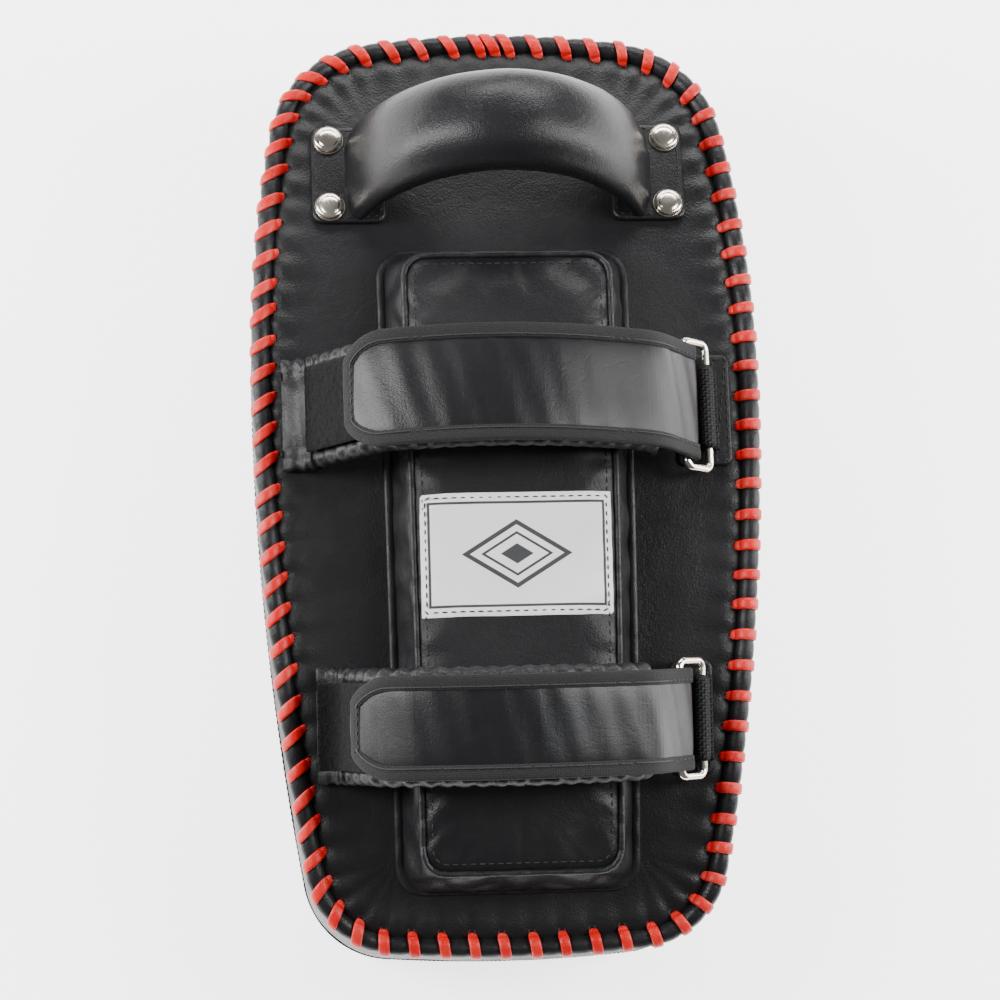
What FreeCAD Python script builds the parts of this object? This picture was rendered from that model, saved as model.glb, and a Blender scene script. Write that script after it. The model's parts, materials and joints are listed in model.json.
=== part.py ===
import FreeCAD, Part
import math
import os

# Thai pad: a curved kick pad for martial arts, lying on its striking face with its back up.
# Frame: +Z out of the back, +Y towards the handle end, +X across the pad.
# Origin: on the surface that the pad lies on, under the middle of its plan outline.
# The back is part of a cylinder whose axis runs along X. A piece on the back is drawn flat in
# local axes (x, v, w), with v along the pad and w out of the back, and rolled to its station.

V = FreeCAD.Vector

# ---- pad body (mm)
PAD_LENGTH = 390.0
PAD_WIDTH = 208.0
HALF_PAD = PAD_WIDTH / 2
PAD_THICKNESS = 75.0
BACK_RADIUS = 800.0
WIDEST_Y = 46.0
TOP_CROWN_RADIUS = 384.0
TOP_CORNER_RADIUS = 48.0
UPPER_SIDE_RADIUS = 573.0
LOWER_SIDE_RADIUS = 1174.0
BOTTOM_CORNER_RADIUS = 37.0
BOTTOM_CROWN_RADIUS = 600.0
LEATHER = 2.0
BACK_FOAM = 15.0
FACE_FOAM = 21.0
WELT_OUT = 1.2
WELT_HEIGHT = 3.5

# ---- rolled edge and its lace
BINDING_IN = 5.0
BINDING_OUT = 1.5
BINDING_RISE = 3.0
BINDING_DROP = 2.0
LACE_WIDTH = 5.0
LACE_THICKNESS = 1.2
LACE_PITCH = 12.7
LACE_GAP = 0.2
LACE_SIDE_GAP = 0.8
LACE_FOOT = 2.4
LACE_TAIL = 3.2
LACE_BEND = 1.4

# ---- handle; places across the pad are set in from its side, so that they follow its width
HANDLE_Y = 132.0
HANDLE_REACH = HALF_PAD - 48.0
HANDLE_RISE = 45.0
HANDLE_FOOT_W = 11.0
HANDLE_ARC = 60.0
HANDLE_ARC_END = 68.0
HANDLE_HALF_WIDTH = 19.0
HANDLE_HALF_THICK = 15.0
HANDLE_END_HALF_THICK = 5.5
HANDLE_COVER = 1.8
HANDLE_SECTIONS = 9
TAB_INNER_X = HALF_PAD - 56.0
TAB_OUTER_X = HALF_PAD - 25.0
TAB_LENGTH = 44.0
TAB_CORNER = 4.0
TAB_THICKNESS = 2.9
BOARD_THICKNESS = 3.0
BOARD_MARGIN = 6.0
RIVET_X = HALF_PAD - 32.4
RIVET_SPACING = 30.5
RIVET_POST_RADIUS = 2.0
RIVET_HOLE_GAP = 0.05
RIVET_CAP_RADIUS = 6.0
RIVET_CAP_HEIGHT = 2.4
RIM_WASHER_RADIUS = 6.4
RIM_WASHER = 0.7
BURR_RADIUS = 5.5
BURR = 1.2
SEAT_GAP = 0.1

# ---- forearm cushion
CUSHION_TOP_Y = 98.0
CUSHION_BOTTOM_Y = -171.0
CUSHION_HALF_WIDTH = HALF_PAD - 53.5
CUSHION_TOP_HALF_WIDTH = CUSHION_HALF_WIDTH - 9.5
CUSHION_HEIGHT = 23.0
CUSHION_END_SLOPE = 7.0
CUSHION_SKIN = 1.5
CUSHION_FLANGE = 3.0
CUSHION_WELT = 1.4
LABEL_Y = -34.5
LABEL_WIDTH = 2 * (CUSHION_TOP_HALF_WIDTH - 1.0)
LABEL_LENGTH = 49.0
LABEL_THICKNESS = 0.8

# ---- arm straps: one tuple for each, with what differs between the two
# name, station along the pad, x of the ring keeper, width of the closing strap
STRAPS = [
    ("upper", 27.0, HALF_PAD - 20.9, 48.0),
    ("lower", -101.0, HALF_PAD - 27.2, 42.0),
]
STRAP_EDGE_MARGIN = 9.4
BAND_WIDTH = 48.0
BAND_THICKNESS = 11.0
BAND_SKIN = 1.2
ROLL_WIDTH = 3.5
ROLL_INSET = 1.0
FLANGE_LENGTH = 15.0
ANCHOR_THICKNESS = 1.8
LEFT_KNEE = (54.0 - HALF_PAD, 38.5)
CROWN_POINT = (0.0, 50.5)
RIGHT_SLOPE = 56.3
RIGHT_SLOPE_RUN = 14.4
BAND_END_TO_RING = 12.0
FOOT_BEND = 20.0
LEFT_KNEE_BEND = 24.0
CROWN_BEND = 100.0
RIGHT_KNEE_BEND = 14.0
TAPE_WIDTH = 36.0
LOOP_TAPE = 1.3
LOOP_TAPE_FROM = 20.0 - HALF_PAD
LOOP_TAPE_TO = HALF_PAD - 82.0
HOOK_TAPE = 1.3
HOOK_TAPE_FROM = 46.5 - HALF_PAD
HOOK_TAPE_TO = HALF_PAD - 86.0
TAPE_GAP = 0.4
FLAP_LEFT_X = 35.0 - HALF_PAD
FLAP_CORNER = 11.0
FLAP_THICKNESS = 3.0
FLAP_BINDING = 6.5
FLAP_BINDING_UNDER = 0.2
FLAP_BINDING_OVER = 0.6
TAIL_THICKNESS = 2.5
TAIL_FROM = HALF_PAD - 79.0
WIRE_RADIUS = 1.75
WIRE_GAP = 0.35
TURN_GAP = 0.4
RING_REACH = 10.5
RING_RISE = 9.0
RING_SIDE_GAP = 1.0
RING_CORNER = 3.0
KEEPER_W = 6.5
KEEPER_THICKNESS = 1.5
KEEPER_WIDTH = 36.0
KEEPER_TONGUE = 2.2

# ---- what follows from the sizes above
FACE_RADIUS = BACK_RADIUS - PAD_THICKNESS
AXIS_Z = -math.sqrt(FACE_RADIUS ** 2 - (PAD_LENGTH / 2) ** 2)
AXIS_POINT = V(0, 0, AXIS_Z)
X_AXIS = V(1, 0, 0)
Y_AXIS = V(0, 1, 0)
Z_AXIS = V(0, 0, 1)
CROWN_Z = AXIS_Z + BACK_RADIUS
FAR = 400.0


# ---- plan outline

def angle_of(centre, point):
    return math.degrees(math.atan2(point[1] - centre[1], point[0] - centre[0]))


def polar(centre, radius, angle):
    a = math.radians(angle)
    return (centre[0] + radius * math.cos(a), centre[1] + radius * math.sin(a))


def corner_centre(c1, r1, c2, r2):
    """The crossing, on the right, of two circles about c1 and c2."""
    dx, dy = c2[0] - c1[0], c2[1] - c1[1]
    gap = math.hypot(dx, dy)
    along = (r1 ** 2 - r2 ** 2 + gap ** 2) / (2 * gap)
    across = math.sqrt(r1 ** 2 - along ** 2)
    mid = (c1[0] + along * dx / gap, c1[1] + along * dy / gap)
    offset = (across * dy / gap, -across * dx / gap)
    return max((mid[0] + s * offset[0], mid[1] + s * offset[1]) for s in (1, -1))


def right_side_arcs():
    """The right half of the outline, from the handle end down: (centre, radius, from, to)."""
    top = (0, PAD_LENGTH / 2 - TOP_CROWN_RADIUS)
    upper = (PAD_WIDTH / 2 - UPPER_SIDE_RADIUS, WIDEST_Y)
    lower = (PAD_WIDTH / 2 - LOWER_SIDE_RADIUS, WIDEST_Y)
    bottom = (0, BOTTOM_CROWN_RADIUS - PAD_LENGTH / 2)
    corner_1 = corner_centre(
        top, TOP_CROWN_RADIUS - TOP_CORNER_RADIUS, upper, UPPER_SIDE_RADIUS - TOP_CORNER_RADIUS)
    corner_2 = corner_centre(
        bottom, BOTTOM_CROWN_RADIUS - BOTTOM_CORNER_RADIUS,
        lower, LOWER_SIDE_RADIUS - BOTTOM_CORNER_RADIUS)
    a1, a2 = angle_of(top, corner_1), angle_of(upper, corner_1)
    a3, a4 = angle_of(lower, corner_2), angle_of(bottom, corner_2)
    return [
        (top, TOP_CROWN_RADIUS, 90, a1),
        (corner_1, TOP_CORNER_RADIUS, a1, a2),
        (upper, UPPER_SIDE_RADIUS, a2, 0),
        (lower, LOWER_SIDE_RADIUS, 0, a3),
        (corner_2, BOTTOM_CORNER_RADIUS, a3, a4),
        (bottom, BOTTOM_CROWN_RADIUS, a4, -90),
    ]


ARCS = right_side_arcs()


def outline_face(inset):
    """The plan outline, moved in by inset, as a face at z = 0."""
    edges = []
    for side in (1, -1):
        for centre, radius, a, b in ARCS:
            ends = [polar(centre, radius - inset, t) for t in (a, (a + b) / 2, b)]
            edges.append(Part.Arc(*[V(side * x, y, 0) for x, y in ends]).toShape())
    return Part.Face(Part.Wire(Part.__sortEdges__(edges)))


def outline_prism(inset):
    face = outline_face(inset)
    face.translate(V(0, 0, -FAR / 4))
    return face.extrude(V(0, 0, FAR))


def half_width(y):
    """Half the pad's width at y, on its two long side arcs."""
    centre, radius = ARCS[2][:2] if y > WIDEST_Y else ARCS[3][:2]
    return centre[0] + math.sqrt(radius ** 2 - (y - centre[1]) ** 2)


def outline_stations(pitch):
    """Evenly spaced stations round the whole outline: (x, y, outward angle)."""
    lengths = [radius * math.radians(a - b) for centre, radius, a, b in ARCS]
    half = sum(lengths)
    count = round(half / pitch)
    stations = []
    for i in range(count):
        left = (i + 0.5) * half / count
        for (centre, radius, a, b), length in zip(ARCS, lengths):
            if left <= length:
                angle = a + (b - a) * left / length
                break
            left -= length
        x, y = polar(centre, radius, angle)
        stations += [(x, y, angle), (-x, y, 180 - angle)]
    return stations


# ---- solids that follow the curved back

def drum(depth):
    """The cylinder that lies depth below the back."""
    return Part.makeCylinder(BACK_RADIUS - depth, FAR, V(-FAR / 2, 0, AXIS_Z), X_AXIS)


def layer(inset, depth, below):
    """What the outline holds between two depths below the back."""
    return outline_prism(inset).common(drum(depth)).cut(drum(below))


def back_z(y):
    return AXIS_Z + math.sqrt(BACK_RADIUS ** 2 - y ** 2)


def tilt(y):
    return math.degrees(math.asin(y / BACK_RADIUS))


def on_back(shape, y):
    """Roll a shape drawn in local axes to its station y on the back."""
    placed = shape.copy()
    placed.translate(V(0, 0, CROWN_Z))
    placed.rotate(AXIS_POINT, X_AXIS, -tilt(y))
    return placed


def rolled(section, y_from, y_to):
    """Sweep a closed section, a list of (x, w), along the back between two stations."""
    points = [V(x, 0, CROWN_Z + w) for x, w in section]
    face = Part.Face(Part.makePolygon(points + points[:1]))
    face.rotate(AXIS_POINT, X_AXIS, -tilt(y_to))
    return face.revolve(AXIS_POINT, X_AXIS, tilt(y_to) - tilt(y_from))


# ---- bands that follow a bent path in the local x-w plane

def unit(a, b):
    length = math.hypot(b[0] - a[0], b[1] - a[1])
    return ((b[0] - a[0]) / length, (b[1] - a[1]) / length)


def left_of(direction):
    return (-direction[1], direction[0])


def moved(point, direction, distance):
    return (point[0] + direction[0] * distance, point[1] + direction[1] * distance)


def turn_between(d1, d2):
    return math.acos(max(-1.0, min(1.0, d1[0] * d2[0] + d1[1] * d2[1])))


def path_pieces(points, bends):
    """Straight runs joined by tangent arcs: ("line", a, b, normal) or ("arc", centre, a, mid, b, side).

    A bend keeps its radius unless its runs are too short for it and for the bends beside it."""
    runs = [unit(a, b) for a, b in zip(points, points[1:])]
    lengths = [math.dist(a, b) for a, b in zip(points, points[1:])]
    half_turns = [math.tan(turn_between(d1, d2) / 2) for d1, d2 in zip(runs, runs[1:])]
    reaches = [0.0] + [r * t for r, t in zip(bends, half_turns)] + [0.0]
    room = [0.98 * length / max(a + b, length * 0.01)
            for length, a, b in zip(lengths, reaches, reaches[1:])]
    pieces = []
    start = points[0]
    for i, radius in enumerate(bends):
        corner, d1, d2 = points[i + 1], runs[i], runs[i + 1]
        radius *= min(1.0, room[i], room[i + 1])
        reach = radius * half_turns[i]
        a, b = moved(corner, d1, -reach), moved(corner, d2, reach)
        side = 1 if d1[0] * d2[1] - d1[1] * d2[0] > 0 else -1
        centre = moved(a, left_of(d1), side * radius)
        mid = moved(centre, unit(centre, corner), radius)
        pieces.append(("line", start, a, left_of(d1)))
        pieces.append(("arc", centre, a, mid, b, -side))
        start = b
    pieces.append(("line", start, points[-1], left_of(runs[-1])))
    return pieces


def path_edges(pieces, offset):
    """The path moved to its left by offset, as edges in the plane v = 0."""
    edges = []
    for piece in pieces:
        if piece[0] == "line":
            a, b = (moved(p, piece[3], offset) for p in piece[1:3])
            edges.append(Part.makeLine(V(a[0], 0, a[1]), V(b[0], 0, b[1])))
        else:
            centre, side = piece[1], piece[5]
            ends = [moved(p, unit(centre, p), side * offset) for p in piece[2:5]]
            edges.append(Part.Arc(*[V(x, 0, w) for x, w in ends]).toShape())
    return edges


def band(pieces, low, high, v_from, v_to):
    """A band between two offsets from a path, from v_from to v_to."""
    under, over = path_edges(pieces, low), path_edges(pieces, high)
    ends = [Part.makeLine(under[i].Vertexes[i].Point, over[i].Vertexes[i].Point) for i in (0, -1)]
    face = Part.Face(Part.Wire(Part.__sortEdges__(under + over + ends)))
    face.translate(V(0, v_from, 0))
    return face.extrude(V(0, v_to - v_from, 0))


def box(x1, x2, v1, v2, w1, w2):
    return Part.makeBox(x2 - x1, v2 - v1, w2 - w1, V(x1, v1, w1))


def rounded_plate(x1, x2, length, w1, w2, radius):
    plate = box(x1, x2, -length / 2, length / 2, w1, w2)
    upright = [e for e in plate.Edges if abs(e.tangentAt(e.FirstParameter).z) > 0.9]
    return plate.makeFillet(radius, upright)


def post(radius, x, v, w1, w2):
    return Part.makeCylinder(radius, w2 - w1, V(x, v, w1), Z_AXIS)


def mirrored(shape):
    return shape.mirror(V(0, 0, 0), X_AXIS)


# ---- pad body

CORE_FROM = LEATHER + BACK_FOAM
CORE_TO = PAD_THICKNESS - LEATHER - FACE_FOAM


def striking_face():
    return layer(0, PAD_THICKNESS - LEATHER, PAD_THICKNESS)


def side_wall():
    top = max(LEATHER, BINDING_DROP)
    return outline_prism(0).cut(outline_prism(LEATHER)).common(drum(top)).cut(
        drum(PAD_THICKNESS - LEATHER))


def face_welt():
    middle = PAD_THICKNESS - LEATHER
    ring = outline_prism(-WELT_OUT).cut(outline_prism(0))
    return ring.common(drum(middle - WELT_HEIGHT / 2)).cut(drum(middle + LEATHER / 2))


def back_panel():
    panel = layer(BINDING_IN, 0, LEATHER)
    return panel.cut(rivet_holes(RIVET_POST_RADIUS + RIVET_HOLE_GAP))


def edge_binding():
    ring = outline_prism(-BINDING_OUT).cut(outline_prism(BINDING_IN))
    return ring.common(drum(-BINDING_RISE)).cut(drum(BINDING_DROP))


def foam_layers():
    board = handle_backing_board_blank(SEAT_GAP)
    back = layer(LEATHER, LEATHER, CORE_FROM).cut(board).cut(burr_pockets())
    core = layer(LEATHER, CORE_FROM, CORE_TO)
    face = layer(LEATHER, CORE_TO, PAD_THICKNESS - LEATHER)
    return back, core, face


def stitch():
    """One whip stitch over the rolled edge: local x points outwards from the pad."""
    inner, outer = -BINDING_IN - LACE_SIDE_GAP, BINDING_OUT + LACE_SIDE_GAP
    top = BINDING_RISE + LACE_GAP
    points = [(inner - LACE_FOOT, LACE_GAP), (inner, top), (outer, top), (outer, -LACE_TAIL)]
    pieces = path_pieces(points, [LACE_BEND, LACE_BEND])
    return band(pieces, 0, LACE_THICKNESS, -LACE_WIDTH / 2, LACE_WIDTH / 2)


def placed_stitch(x, y, angle, lift=0.0):
    piece = stitch()
    piece.translate(V(0, 0, lift))
    piece.rotate(V(0, 0, 0), Z_AXIS, angle)
    piece.rotate(V(0, 0, 0), X_AXIS, -tilt(y))
    piece.translate(V(x, y, back_z(y)))
    return piece


def edge_lace():
    return Part.makeCompound([placed_stitch(*s) for s in outline_stations(LACE_PITCH)])


def lace_lock_stitch():
    return placed_stitch(0, PAD_LENGTH / 2, 90)


# ---- handle

def handle_section(arc, skin):
    """One oval section of the handle at an angle along its arch, less a skin."""
    end_arc = math.radians(HANDLE_ARC)
    a = math.radians(arc)
    x = HANDLE_REACH * math.sin(a) / math.sin(end_arc)
    w = HANDLE_FOOT_W + HANDLE_RISE * (math.cos(a) - math.cos(end_arc)) / (1 - math.cos(end_arc))
    dx = HANDLE_REACH * math.cos(a) / math.sin(end_arc)
    dw = -HANDLE_RISE * math.sin(a) / (1 - math.cos(end_arc))
    swell = max(0.0, math.cos(a * 90 / HANDLE_ARC))
    thick = HANDLE_END_HALF_THICK + (HANDLE_HALF_THICK - HANDLE_END_HALF_THICK) * swell - skin
    wide = HANDLE_HALF_WIDTH - skin
    circle = Part.Ellipse(V(0, 0, 0), wide, thick).toShape()
    wire = Part.Wire(circle)
    wire.rotate(V(0, 0, 0), Z_AXIS, 90)
    wire.rotate(V(0, 0, 0), Y_AXIS, 90 + math.degrees(math.atan2(-dw, dx)))
    wire.translate(V(x, 0, w))
    return wire


def handle_arch(skin):
    step = 2 * HANDLE_ARC_END / (HANDLE_SECTIONS - 1)
    arcs = [-HANDLE_ARC_END + i * step for i in range(HANDLE_SECTIONS)]
    arch = Part.makeLoft([handle_section(a, skin) for a in arcs], True)
    return arch.cut(box(-FAR, FAR, -FAR, FAR, -FAR, SEAT_GAP + TAB_THICKNESS))


def handle_cover():
    return on_back(handle_arch(0).cut(handle_arch(HANDLE_COVER)), HANDLE_Y)


def handle_core():
    return on_back(handle_arch(HANDLE_COVER), HANDLE_Y)


def rivet_places():
    return [(sx * RIVET_X, sv * RIVET_SPACING / 2) for sx in (-1, 1) for sv in (-1, 1)]


def at_rivets(make):
    return on_back(Part.makeCompound([make(x, v) for x, v in rivet_places()]), HANDLE_Y)


TAB_TOP = SEAT_GAP + TAB_THICKNESS
CAP_SEAT = TAB_TOP + RIM_WASHER
BURR_TOP = -(LEATHER + BOARD_THICKNESS) - 4 * SEAT_GAP


def rivet_holes(radius):
    return at_rivets(lambda x, v: post(radius, x, v, BURR_TOP, CAP_SEAT))


def burr_pockets():
    return at_rivets(lambda x, v: post(
        BURR_RADIUS + SEAT_GAP, x, v, BURR_TOP - BURR - SEAT_GAP, BURR_TOP + BOARD_THICKNESS))


def rivet_posts():
    return at_rivets(lambda x, v: post(RIVET_POST_RADIUS, x, v, BURR_TOP - BURR, CAP_SEAT))


def rivet_burrs():
    hole = RIVET_POST_RADIUS + RIVET_HOLE_GAP
    return at_rivets(lambda x, v: post(BURR_RADIUS, x, v, BURR_TOP - BURR, BURR_TOP).cut(
        post(hole, x, v, BURR_TOP - BURR, BURR_TOP)))


def rim_washers():
    hole = RIVET_POST_RADIUS + RIVET_HOLE_GAP
    return at_rivets(lambda x, v: post(RIM_WASHER_RADIUS, x, v, TAB_TOP, CAP_SEAT).cut(
        post(hole, x, v, TAB_TOP, CAP_SEAT)))


def rivet_cap(x, v):
    rim = RIVET_CAP_HEIGHT / 3
    bevel = Part.makeCone(RIVET_CAP_RADIUS, RIVET_CAP_RADIUS - 2 * rim, 2 * rim,
                          V(x, v, CAP_SEAT + rim), Z_AXIS)
    return post(RIVET_CAP_RADIUS, x, v, CAP_SEAT, CAP_SEAT + rim).fuse(bevel).removeSplitter()


def rivet_caps():
    return at_rivets(rivet_cap)


def handle_tab(side):
    tab = rounded_plate(TAB_INNER_X, TAB_OUTER_X, TAB_LENGTH, SEAT_GAP, TAB_TOP, TAB_CORNER)
    if side < 0:
        tab = mirrored(tab)
    return on_back(tab, HANDLE_Y).cut(rivet_holes(RIVET_POST_RADIUS + RIVET_HOLE_GAP))


def handle_backing_board_blank(gap):
    long_side = TAB_OUTER_X + BOARD_MARGIN + gap
    short_side = TAB_LENGTH / 2 + BOARD_MARGIN + gap
    depth = 2 * (LEATHER + BOARD_THICKNESS)
    block = on_back(box(-long_side, long_side, -short_side, short_side, -depth, depth), HANDLE_Y)
    return block.common(drum(LEATHER)).cut(drum(LEATHER + BOARD_THICKNESS + gap))


def handle_backing_board():
    board = handle_backing_board_blank(0)
    return board.cut(rivet_holes(RIVET_POST_RADIUS + RIVET_HOLE_GAP))


# ---- forearm cushion

def cushion_body(skin, top, bottom):
    """The cushion between two heights above the back, its sloping sides moved in by skin."""
    lean = (CUSHION_HALF_WIDTH - CUSHION_TOP_HALF_WIDTH) / CUSHION_HEIGHT
    low, high = CUSHION_HALF_WIDTH - skin - lean * bottom, CUSHION_HALF_WIDTH - skin - lean * top
    section = [(-low, bottom), (low, bottom), (high, top), (-high, top)]
    block = rolled(section, CUSHION_BOTTOM_Y, CUSHION_TOP_Y)
    slope = math.degrees(math.atan2(CUSHION_END_SLOPE, CUSHION_HEIGHT))
    for y, side in ((CUSHION_TOP_Y, 1), (CUSHION_BOTTOM_Y, -1)):
        wedge = box(-FAR, FAR, 0, FAR, -FAR, FAR)
        wedge.rotate(V(0, 0, 0), X_AXIS, slope)
        if side < 0:
            wedge = wedge.mirror(V(0, 0, 0), Y_AXIS)
        wedge.translate(V(0, -side * skin, 0))
        block = block.cut(on_back(wedge, y))
    return block


CUSHION_PANEL_FROM = CUSHION_HEIGHT - CUSHION_SKIN


def cushion_foam():
    return cushion_body(CUSHION_SKIN, CUSHION_PANEL_FROM, 0)


def cushion_gusset():
    return cushion_body(0, CUSHION_PANEL_FROM, 0).cut(cushion_foam())


def cushion_panel():
    return cushion_body(0, CUSHION_HEIGHT, CUSHION_PANEL_FROM)


def cushion_welt():
    outer = cushion_body(-CUSHION_WELT, CUSHION_HEIGHT, CUSHION_PANEL_FROM)
    return outer.cut(cushion_panel())


def cushion_flange():
    outer = cushion_body(-CUSHION_FLANGE, CUSHION_SKIN, 0)
    return outer.cut(cushion_body(0, CUSHION_SKIN, 0))


def label_patch():
    half = LABEL_WIDTH / 2
    low, high = CUSHION_HEIGHT, CUSHION_HEIGHT + LABEL_THICKNESS
    section = [(-half, low), (half, low), (half, high), (-half, high)]
    return rolled(section, LABEL_Y - LABEL_LENGTH / 2, LABEL_Y + LABEL_LENGTH / 2)


# ---- arm straps

LOOP_TOP = BAND_THICKNESS + LOOP_TAPE
HOOK_BOTTOM = LOOP_TOP + TAPE_GAP
FLAP_BOTTOM = HOOK_BOTTOM + HOOK_TAPE
FLAP_TOP = FLAP_BOTTOM + FLAP_THICKNESS
TURN_INNER = WIRE_RADIUS + WIRE_GAP
TURN_OUTER = TURN_INNER + TAIL_THICKNESS
SLOPE = (math.cos(math.radians(RIGHT_SLOPE)), -math.sin(math.radians(RIGHT_SLOPE)))
SLOPE_NORMAL = left_of(SLOPE)


class Strap:
    """The places that one arm strap's pieces share, in the local plane of its station."""

    def __init__(self, name, y, keeper_x, flap_width):
        self.name = name
        self.y = y
        self.flap_width = flap_width
        self.right = min(half_width(y + BAND_WIDTH / 2), half_width(y - BAND_WIDTH / 2)) - STRAP_EDGE_MARGIN
        self.left = -self.right
        self.keeper = (keeper_x, KEEPER_W)
        self.bar = (keeper_x - RING_REACH, KEEPER_W + RING_RISE)
        foot = moved(self.bar, SLOPE_NORMAL, TURN_INNER - FLAP_BOTTOM)
        self.end = moved(foot, SLOPE, -BAND_END_TO_RING)
        self.knee = moved(self.end, SLOPE, -RIGHT_SLOPE_RUN)
        seat = SEAT_GAP + ANCHOR_THICKNESS
        self.points = [
            (self.left, seat), (self.left + FLANGE_LENGTH, seat),
            LEFT_KNEE, CROWN_POINT, self.knee, self.end,
        ]
        self.bends = [FOOT_BEND, LEFT_KNEE_BEND, CROWN_BEND, RIGHT_KNEE_BEND]
        self.path = path_pieces(self.points, self.bends)
        turn_clear = math.sqrt((TURN_OUTER + TURN_GAP) ** 2 - TURN_INNER ** 2)
        flap_end = moved(foot, SLOPE, -turn_clear)
        self.flap_path = path_pieces(self.points[:-1] + [flap_end], self.bends)
        self.turn_clear = turn_clear

    def put(self, shape):
        return on_back(shape, self.y)

    def band(self, low, high, width):
        return band(self.path, low, high, -width / 2, width / 2)


def strap_anchor(s):
    length = FLANGE_LENGTH
    plate = box(s.left, s.left + length, -BAND_WIDTH / 2, BAND_WIDTH / 2,
                SEAT_GAP, SEAT_GAP + ANCHOR_THICKNESS)
    return s.put(plate)


COVER_WIDTH = BAND_WIDTH - 2 * ROLL_WIDTH
FOAM_WIDTH = COVER_WIDTH - 2 * BAND_SKIN


def strap_foam(s):
    return s.put(s.band(BAND_SKIN, BAND_THICKNESS - BAND_SKIN, FOAM_WIDTH))


def strap_cover(s):
    outer = s.band(0, BAND_THICKNESS, COVER_WIDTH)
    return s.put(outer.cut(s.band(BAND_SKIN, BAND_THICKNESS - BAND_SKIN, FOAM_WIDTH)))


def strap_edge_rolls(s):
    low, high = ROLL_INSET, BAND_THICKNESS - ROLL_INSET
    near, far = COVER_WIDTH / 2, BAND_WIDTH / 2
    rolls = [band(s.path, low, high, near, far), band(s.path, low, high, -far, -near)]
    return s.put(Part.makeCompound(rolls))


def loop_tape(s):
    tape = s.band(BAND_THICKNESS, LOOP_TOP, TAPE_WIDTH)
    return s.put(tape.common(box(LOOP_TAPE_FROM, LOOP_TAPE_TO, -FAR, FAR, -FAR, FAR)))


def closing_strap_tail(s):
    width = s.flap_width - 2 * FLAP_BINDING
    over = band(s.path, BAND_THICKNESS, BAND_THICKNESS + TAIL_THICKNESS, -width / 2, width / 2)
    over = over.common(box(TAIL_FROM, FAR, -FAR, FAR, -FAR, FAR))
    corner = moved(moved(s.end, SLOPE_NORMAL, BAND_THICKNESS), SLOPE, TURN_GAP)
    start = moved(corner, SLOPE, -2 * TAIL_THICKNESS)
    clear = s.turn_clear + TURN_GAP
    below = moved(moved(s.bar, SLOPE, -clear), SLOPE_NORMAL, -TURN_OUTER)
    hang = path_pieces([start, corner, below], [TAIL_THICKNESS])
    hang = band(hang, 0, TAIL_THICKNESS, -width / 2, width / 2)
    return s.put(over.fuse(hang).removeSplitter())


def sleeve(centre, inner, outer, width):
    tube = Part.makeCylinder(outer, width, V(centre[0], -width / 2, centre[1]), Y_AXIS)
    return tube.cut(Part.makeCylinder(inner, width, V(centre[0], -width / 2, centre[1]), Y_AXIS))


def closing_strap_turn(s):
    """The closing strap's half turn round the ring's free bar."""
    tube = sleeve(s.bar, TURN_INNER, TURN_OUTER, s.flap_width)
    half = box(-FAR, 0, -FAR, FAR, -FAR, FAR)
    half.rotate(V(0, 0, 0), Y_AXIS, RIGHT_SLOPE)
    half.translate(V(s.bar[0], 0, s.bar[1]))
    return s.put(tube.cut(half))


def flap_outline(s, inset):
    """The flap seen from above, open on the ring's side, as a tall prism."""
    half = s.flap_width / 2 - inset
    block = box(FLAP_LEFT_X + inset, FAR, -half, half, -FAR / 4, FAR)
    corners = [e for e in block.Edges if e.BoundBox.ZLength > FAR and e.BoundBox.XMin < 0]
    return block.makeFillet(FLAP_CORNER - inset, corners)


def flap_band(s, low, high):
    return band(s.flap_path, low, high, -s.flap_width / 2, s.flap_width / 2)


def closing_flap(s):
    return s.put(flap_band(s, FLAP_BOTTOM, FLAP_TOP).common(flap_outline(s, FLAP_BINDING)))


def flap_binding(s):
    block = flap_band(s, FLAP_BOTTOM - FLAP_BINDING_UNDER, FLAP_TOP + FLAP_BINDING_OVER)
    return s.put(block.common(flap_outline(s, 0)).cut(flap_outline(s, FLAP_BINDING)))


def hook_tape(s):
    width = min(TAPE_WIDTH, s.flap_width - 2 * FLAP_BINDING)
    tape = band(s.flap_path, HOOK_BOTTOM, FLAP_BOTTOM, -width / 2, width / 2)
    return s.put(tape.common(box(HOOK_TAPE_FROM, HOOK_TAPE_TO, -FAR, FAR, -FAR, FAR)))


def ring(s):
    """The rectangular wire ring between the keeper and the closing strap."""
    half = s.flap_width / 2 + RING_SIDE_GAP + WIRE_RADIUS
    depth = math.hypot(RING_REACH, RING_RISE)
    outline = box(-depth, 0, -half, half, 0, 1)
    upright = [e for e in outline.Edges if e.BoundBox.ZLength > 0.5]
    rounded = outline.makeFillet(RING_CORNER, upright)
    rim = next(f for f in rounded.Faces if f.BoundBox.ZLength < 0.5 and f.BoundBox.ZMin < 0.5)
    route = rim.OuterWire
    start = V(-depth / 2, half, 0)
    edge = min(route.Edges, key=lambda e: e.CenterOfMass.distanceToPoint(start))
    circle = Part.Wire(Part.makeCircle(WIRE_RADIUS, edge.CenterOfMass, X_AXIS))
    halves = [e for e in Part.__sortEdges__(route.Edges)]
    while halves[0].CenterOfMass.distanceToPoint(start) > 0.01:
        halves.append(halves.pop(0))
    first = Part.makeLine(start, halves[0].Vertexes[1].Point)
    last = Part.makeLine(halves[0].Vertexes[0].Point, start)
    loop = Part.Wire(Part.__sortEdges__([first] + halves[1:] + [last]))
    wire = loop.makePipeShell([circle], True, True)
    wire.rotate(V(0, 0, 0), Y_AXIS, math.degrees(math.atan2(RING_RISE, RING_REACH)))
    wire.translate(V(s.keeper[0], 0, s.keeper[1]))
    return s.put(wire)


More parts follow.
